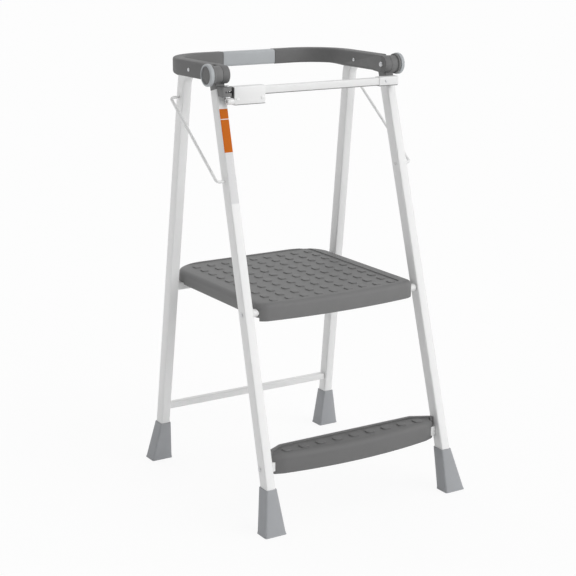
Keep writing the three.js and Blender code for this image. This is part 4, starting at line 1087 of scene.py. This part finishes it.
def make_stay():
    """Bent wire from the front leg, out round the tube and up to the rear leg."""
    low_z, high_z, bend, wire, stand_off = 681, 827.5, 7, 3, 17.5
    stay_x = leg_x(low_z) + TUBE.x / 2 + stand_off
    low, high = Vector((stay_x, front_y(low_z), low_z)), Vector((stay_x, rear_y(high_z), high_z))
    run = (high - low).normalized()
    start = Vector((leg_x(low_z) - TUBE.x / 2 - 3, low.y, low.z))
    end_x = leg_x(high_z - 3) + TUBE.x / 2 + GAP
    stay = add("circle", "stay_wire_right", vertices=16, radius=wire * MM, fill_type="NGON",
               rotation=(0, math.pi / 2, 0), location=at(*start))
    turn_axis = Vector((1, 0, 0)).cross(run)
    with editing(stay):
        choose("FACE", whole)
        push(((stay_x - bend - start.x) * MM, 0, 0))
        sweep_round(math.pi / 2, at(*(low - Vector((bend, 0, 0)) + run * bend)), turn_axis, 8)
        push(run * ((high - low).length - 2 * bend) * MM)
        sweep_round(math.pi / 2, at(*(high - Vector((bend, 0, 0)) - run * bend)), turn_axis, 8)
        push(((end_x - stay_x + bend) * MM, 0, 0))
        face_out()
        round_edges(0.9 * MM, 3)
    return stay


def make_tube(name, node, corner=2):
    """A square tube across the stool, as long as its solid."""
    return rounded(add_block(name, *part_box(node)), corner * MM, 4, crosswise)


# ---------------------------------------------------------------- gate

gate_low, gate_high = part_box("gate_bar")
sleeve_low, sleeve_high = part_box("gate_end_sleeve")
bracket_low, bracket_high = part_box("gate_bracket")
block_low, block_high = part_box("gate_block")
pin_low, pin_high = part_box("gate_pin")
CHANNEL_WALL = 2 * MM
channel_end = bracket_high.x - 71 * MM
gate_hinge = Vector(((pin_low.x + pin_high.x) / 2, (pin_low.y + pin_high.y) / 2,
                     (gate_low.z + gate_high.z) / 2))


def make_sleeve():
    """End sleeve over the gate bar, with softened ends and a sunk end face."""
    sleeve = add_block("gate_sleeve", sleeve_low, sleeve_high)
    with editing(sleeve):
        round_edges(2.5 * MM, 5, crosswise)
        round_edges(0.8 * MM, 3)
        choose("FACE", lambda face: faces_to(face, (-1, 0, 0)) and face.calc_area() > 1e-4)
        bpy.ops.mesh.inset(thickness=1.0 * MM)
        push((3 * MM, 0, 0))
    return sleeve


def make_bracket():
    """Folded channel that carries the gate bar, with a bored boss that reaches out of its end."""
    plate = add_block("gate_channel", (channel_end, bracket_low.y, bracket_low.z), bracket_high)
    rounded(plate, 1.6 * MM, 4, lambda edge: crosswise(edge)
            and middle(edge).y < bracket_low.y + MM)
    room = add_block("channel_room", (channel_end - OVER, bracket_low.y + CHANNEL_WALL,
                                      bracket_low.z + CHANNEL_WALL),
                     bracket_high + Vector((OVER, OVER, -CHANNEL_WALL)))
    rounded(cut(plate, room), 0.5 * MM, 2)
    boss_r, bore_r = 6.8 * MM, 3.2 * MM
    y, z = bracket_low.y + boss_r, bracket_low.z + 7 * MM
    boss = add_rod("gate_boss", boss_r, (bracket_low.x + 4 * MM, y, z),
                   (channel_end + CHANNEL_WALL, y, z), 36)
    rounded(boss, 0.8 * MM, 3)
    bore = add_rod("boss_bore", bore_r, (bracket_low.x - 5 * MM, y, z),
                   (channel_end - CHANNEL_WALL, y, z), 28)
    return cut(join(plate, boss), bore)


def make_tongue():
    """Dark tongue and eye that turn on the gate's pin, with a dark plate in the channel's end as
    painted shade for the gap beside the hinge block.
    """
    half = Vector((0, 0, 1.4 * MM))
    root = add_block("tongue_root", gate_hinge - half - Vector((0, 7 * MM, 0)),
                     (channel_end + 10 * MM, gate_hinge.y + 5 * MM, gate_hinge.z + half.z))
    front = add_block("tongue_front",
                      (channel_end + 0.5 * MM, bracket_low.y + MM, gate_hinge.z - half.z),
                      (channel_end + 10 * MM, gate_hinge.y, gate_hinge.z + half.z))
    # dark plate in the channel's end: painted shade for the gap between the block and the channel
    shade_plate = add_block("channel_end_shade", (channel_end + 0.3 * MM,
                                          bracket_low.y + CHANNEL_WALL - 0.5 * MM,
                                          bracket_low.z + 13 * MM),
                       (channel_end + 2.3 * MM, bracket_high.y - 0.5 * MM,
                        bracket_high.z - CHANNEL_WALL + 0.5 * MM))
    eye = rounded(add_rod("tongue_eye", 7 * MM, gate_hinge - half, gate_hinge + half, 40),
                  0.5 * MM, 2)
    reach = Vector((0, 0, OVER))
    hole = add_rod("pin_hole", 3.3 * MM, gate_hinge - reach, gate_hinge + reach, 28)
    return named(cut(join(root, front, shade_plate, eye), hole), "gate_tongue")


def make_channel_rivet(number):
    """Low rivet head on the channel's face, with its shank."""
    low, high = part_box(f"gate_rivet_{number}")
    x, _, z = (low + high) / 2
    head = make_dome(f"channel_rivet_{number}", SMALL_HEAD_R, 1.5,
                     (x, bracket_low.y + 0.2 * MM, z), (0, -1, 0))
    return join(head, add_rod("rivet_shank", 2.4 * MM, (x, bracket_low.y, z), (x, high.y, z)))


def make_underside_shade_strips():
    """Dark strips along the underside of the gate's tube, its channel and its end sleeve: painted
    shade, standing in for these undersides in shadow.
    """
    runs = ((gate_low.z, bracket_high.x - MM, sleeve_low.x + MM, gate_low.y, gate_high.y),
            (bracket_low.z, channel_end + MM, bracket_high.x, bracket_low.y, bracket_high.y),
            (sleeve_low.z, sleeve_low.x + MM, sleeve_high.x - MM, sleeve_low.y, sleeve_high.y))
    strips = [rounded(add_block(f"trim_{number}", (start, front + 0.7 * MM, level - 1.1 * MM),
                                (end, back - 0.7 * MM, level + 0.5 * MM)), 0.4 * MM, 2)
              for number, (level, start, end, front, back) in enumerate(runs)]
    return named(join(*strips), "gate_underside_trim")


def make_block():
    """Dark hinge block that wraps the left leg's front, slotted for the gate's tongue."""
    x, y, _ = gate_hinge
    block = add_block("gate_hinge_block", (x - 14 * MM, y - 10 * MM, block_low.z),
                      (x + 10 * MM, block_high.y, block_high.z))

    def on_end(edge):
        return any(abs(middle(edge).z - level) < NEAR for level in (block_low.z, block_high.z))

    with editing(block):
        round_edges(9.6 * MM, 9, lambda edge: upright(edge) and middle(edge).x > x
                    and middle(edge).y < y)
        round_edges(2 * MM, 4, lambda edge: upright(edge) and middle(edge).x < x
                    and middle(edge).y < y)
        round_edges(0.9 * MM, 3, lambda edge: square(edge)
                    and (crosswise(edge) or along(edge, 1) or on_end(edge)))
    mid, half = (block_low.z + block_high.z) / 2, 1.7 * MM
    leg = on_front_leg("leg_space", -1, block_low.z / MM - 20, block_high.z / MM + 20,
                       5 * TUBE.x, TUBE.y + 2 * GAP)
    slot = add_block("tongue_slot", (x - 8.2 * MM, y - 40 * MM, mid - half),
                     (x + 40 * MM, y + 8.2 * MM, mid + half))
    return cut(block, leg, slot)


# ---------------------------------------------------------------- label


def make_label():
    """A blank sticker round the front of the left leg: a tinted head over a pale field."""
    lift, half, wrap = 0.15, 9.4, 3

    def shape():
        round_edges((TUBE_CORNER + lift) * MM, 6, upright)
        trim(Vector((half * MM, 0, 0)), Vector((1, 0, 0)))
        trim(Vector((-half * MM, 0, 0)), Vector((-1, 0, 0)))
        trim(Vector((0, (wrap - TUBE.y / 2) * MM, 0)), Vector((0, 1, 0)))

    return on_front_leg("blank_label", -1, *LABEL_RUN, TUBE.x + 2 * lift, TUBE.y + 2 * lift, shape)


# ---------------------------------------------------------------- assembly


def make_leg_pin(side, name):
    """Pin through the rail's arm and the rear leg, with a low head at each end."""
    outer, inner = (at(side * x, leg_pivot.y, leg_pivot.z) for x in (arm_out + GAP, arm_in - GAP))
    heads = join(make_dome("leg_pin_head", SMALL_HEAD_R, 1.5, outer, (side, 0, 0)),
                 make_dome("leg_pin_inner_head", SMALL_HEAD_R, 1.5, inner, (-side, 0, 0)),
                 add_rod("leg_pin", 3 * MM, inner, outer))
    return named(heads, f"leg_pin_{name}")


def assemble():
    """Makes every piece and gives it its finish, its body and the solid that it stands for."""
    steel, dark, pale, zinc = ("white_steel", "dark_grey_plastic", "light_grey_plastic",
                               "zinc_steel")
    finish_legs(make_front_leg(), "front_frame", "front_leg")
    finish_legs(make_rear_leg(), "rear_frame", "rear_leg")
    finish_pair(make_foot("front_shoe_right", front_y, front_depth, 3.5), RUBBER, "front_frame",
                "foot_rubber", "front_foot")
    finish_pair(make_foot("rear_shoe_right", rear_y, rear_depth, 6), RUBBER, "rear_frame",
                "foot_rubber", "rear_foot")
    finish(make_deck(), DARK, "platform", dark, "platform")
    finish(make_step(), STEP_SHADED, "front_frame", dark, "lower_step")
    finish_pair(make_fitting(), DARK, "front_frame", dark, "hinge_fitting")
    finish_pair(make_ring(), GRIP, "front_frame", pale, "hinge_ring")
    finish_pair(make_cap(), RAIL_SHADED, "front_frame", dark, "hinge_cap")
    finish_pair(make_pin_head(), ZINC, "front_frame", zinc, "hinge_pin", limit=40)
    finish_pair(make_rail(), RAIL_SHADED, "rail", dark, "rail")
    finish(make_grip(), GRIP, "rail", pale, "rail_grip")
    finish_pair(make_stay(), WHITE, "stay_{side}", steel, "stay", limit=50)
    for name, node in (("rear_cross_tube", "rear_crossbar"), ("support_tube", "rear_support_bar")):
        finish(make_tube(name, node), WHITE, "rear_frame", steel, node)
    finish(make_tube("gate_tube", "gate_bar"), WHITE, "gate", steel, "gate_bar")
    finish(make_sleeve(), WHITE, "gate", steel, "gate_end_sleeve")
    finish(make_bracket(), WHITE, "gate", steel, "gate_bracket")
    finish(make_tongue(), DARK, "gate", dark)
    for side, name in ((-1, "left"), (1, "right")):
        finish(make_leg_pin(side, name), ZINC, "rail", zinc, f"leg_rivet_{name}")
    for number in (1, 2):
        finish(make_channel_rivet(number), WHITE, "gate", zinc, f"gate_rivet_{number}")
    # dark strips under the gate: painted shade
    finish(make_underside_shade_strips(), DARK, "gate", dark)
    finish(make_block(), DARK, "front_frame", dark, "gate_block")
    finish(make_label(), LABEL, "front_frame", steel)


def paint_solids():
    """Gives the frame's own solids the finish of their material slot."""
    paints = {"white_steel": WHITE, "dark_grey_plastic": DARK, "light_grey_plastic": GRIP,
              "foot_rubber": RUBBER, "zinc_steel": ZINC}
    for part in frame["record"]["subparts"]:
        for slot in frame["nodes"][part["node"]].material_slots:
            slot.material = paints[part["material_slot"]]


# ---------------------------------------------------------------- studio

CAMERA_PLACE = Vector((-1.61884, -2.28998 + front_face, 1.20714))
CAMERA_RIGHT = Vector((0.84975, -0.52718, 0.00273))
CAMERA_LOOK = Vector((0.51074, 0.82196, -0.25203)).normalized()
LENS, SENSOR = 91.29, 36
ROOM_LIGHT = 0.74
DIM_FULL, DIM_START = (math.cos(math.radians(angle)) for angle in (22, 48))
FLOOR_WHITE, FLOOR_GLOW = 0.95, 0.9
SUNS = (("key", 1.25, (0.5, -0.85, 0.45)), ("back_fill", 0.22, (0.3, 1, 0.6)))
SUN_SPREAD = math.radians(60)


def add_camera():
    """The camera, turned so that it looks along one direction with another to its right."""
    data = bpy.data.cameras.new("studio_camera")
    data.sensor_width, data.lens = SENSOR, LENS
    camera = bpy.data.objects.new("studio_camera", data)
    bpy.context.scene.collection.objects.link(camera)
    up = CAMERA_RIGHT.cross(CAMERA_LOOK).normalized()
    right = CAMERA_LOOK.cross(up).normalized()
    rows = Matrix((right, up, -CAMERA_LOOK)).transposed().to_4x4()
    camera.matrix_world = Matrix.Translation(CAMERA_PLACE) @ rows
    bpy.context.scene.camera = camera


def seen_apart(tree, plain, seen, share, output):
    """Mixes into one shader a share of another one, but only where the camera sees it directly."""
    path, mix = tree.nodes.new("ShaderNodeLightPath"), tree.nodes.new("ShaderNodeMixShader")
    part = math_node(tree.nodes, "MULTIPLY", share)
    for start, end in ((path.outputs["Is Camera Ray"], part.inputs[0]),
                       (part.outputs[0], mix.inputs["Fac"]), (plain, mix.inputs[1]),
                       (seen, mix.inputs[2]), (mix.outputs["Shader"], output.inputs["Surface"])):
        tree.links.new(start, end)


def light_room():
    """A pale room, dimmed in a soft patch behind the camera, which itself sees plain white."""
    world = bpy.data.worlds.new("pale_room")
    world.use_nodes = True
    nodes, links = world.node_tree.nodes, world.node_tree.links
    place = nodes.new("ShaderNodeTexCoord")
    facing = nodes.new("ShaderNodeVectorMath")
    facing.operation = "DOT_PRODUCT"
    facing.inputs[1].default_value = -CAMERA_LOOK
    dim = nodes.new("ShaderNodeMapRange")
    dim.interpolation_type = "SMOOTHSTEP"
    for label, value in (("From Min", DIM_START), ("From Max", DIM_FULL), ("To Min", 1),
                         ("To Max", 0)):
        dim.inputs[label].default_value = value
    links.new(place.outputs["Generated"], facing.inputs[0])
    links.new(facing.outputs["Value"], dim.inputs["Value"])
    room = nodes["Background"]
    room.inputs["Strength"].default_value = ROOM_LIGHT
    links.new(dim.outputs["Result"], room.inputs["Color"])
    backdrop = nodes.new("ShaderNodeBackground")
    backdrop.inputs["Color"].default_value = (1, 1, 1, 1)
    seen_apart(world.node_tree, room.outputs[0], backdrop.outputs[0], 1, nodes["World Output"])
    bpy.context.scene.world = world
    for name, energy, towards in SUNS:
        sun = bpy.data.lights.new(name, "SUN")
        sun.energy, sun.angle = energy, SUN_SPREAD
        lamp = bpy.data.objects.new(name, sun)
        lamp.rotation_euler = Vector(towards).to_track_quat("Z", "Y").to_euler()
        bpy.context.scene.collection.objects.link(lamp)


def lay_floor():
    """A pale floor that glows a little, but only as the camera sees it."""
    bpy.ops.mesh.primitive_plane_add(size=60)
    floor = bpy.context.object
    floor.name = "studio_floor"
    material = bpy.data.materials.new("pale_floor")
    material.use_nodes = True
    nodes = material.node_tree.nodes
    paint = nodes["Principled BSDF"]
    paint.inputs["Base Color"].default_value = (FLOOR_WHITE, FLOOR_WHITE, FLOOR_WHITE, 1)
    paint.inputs["Roughness"].default_value = 0.9
    glow = nodes.new("ShaderNodeEmission")
    seen_apart(material.node_tree, paint.outputs["BSDF"], glow.outputs["Emission"], FLOOR_GLOW,
               nodes["Material Output"])
    floor.data.materials.append(material)


assemble()
paint_solids()
add_camera()
light_room()
lay_floor()
bpy.context.scene.view_settings.view_transform = "Standard"
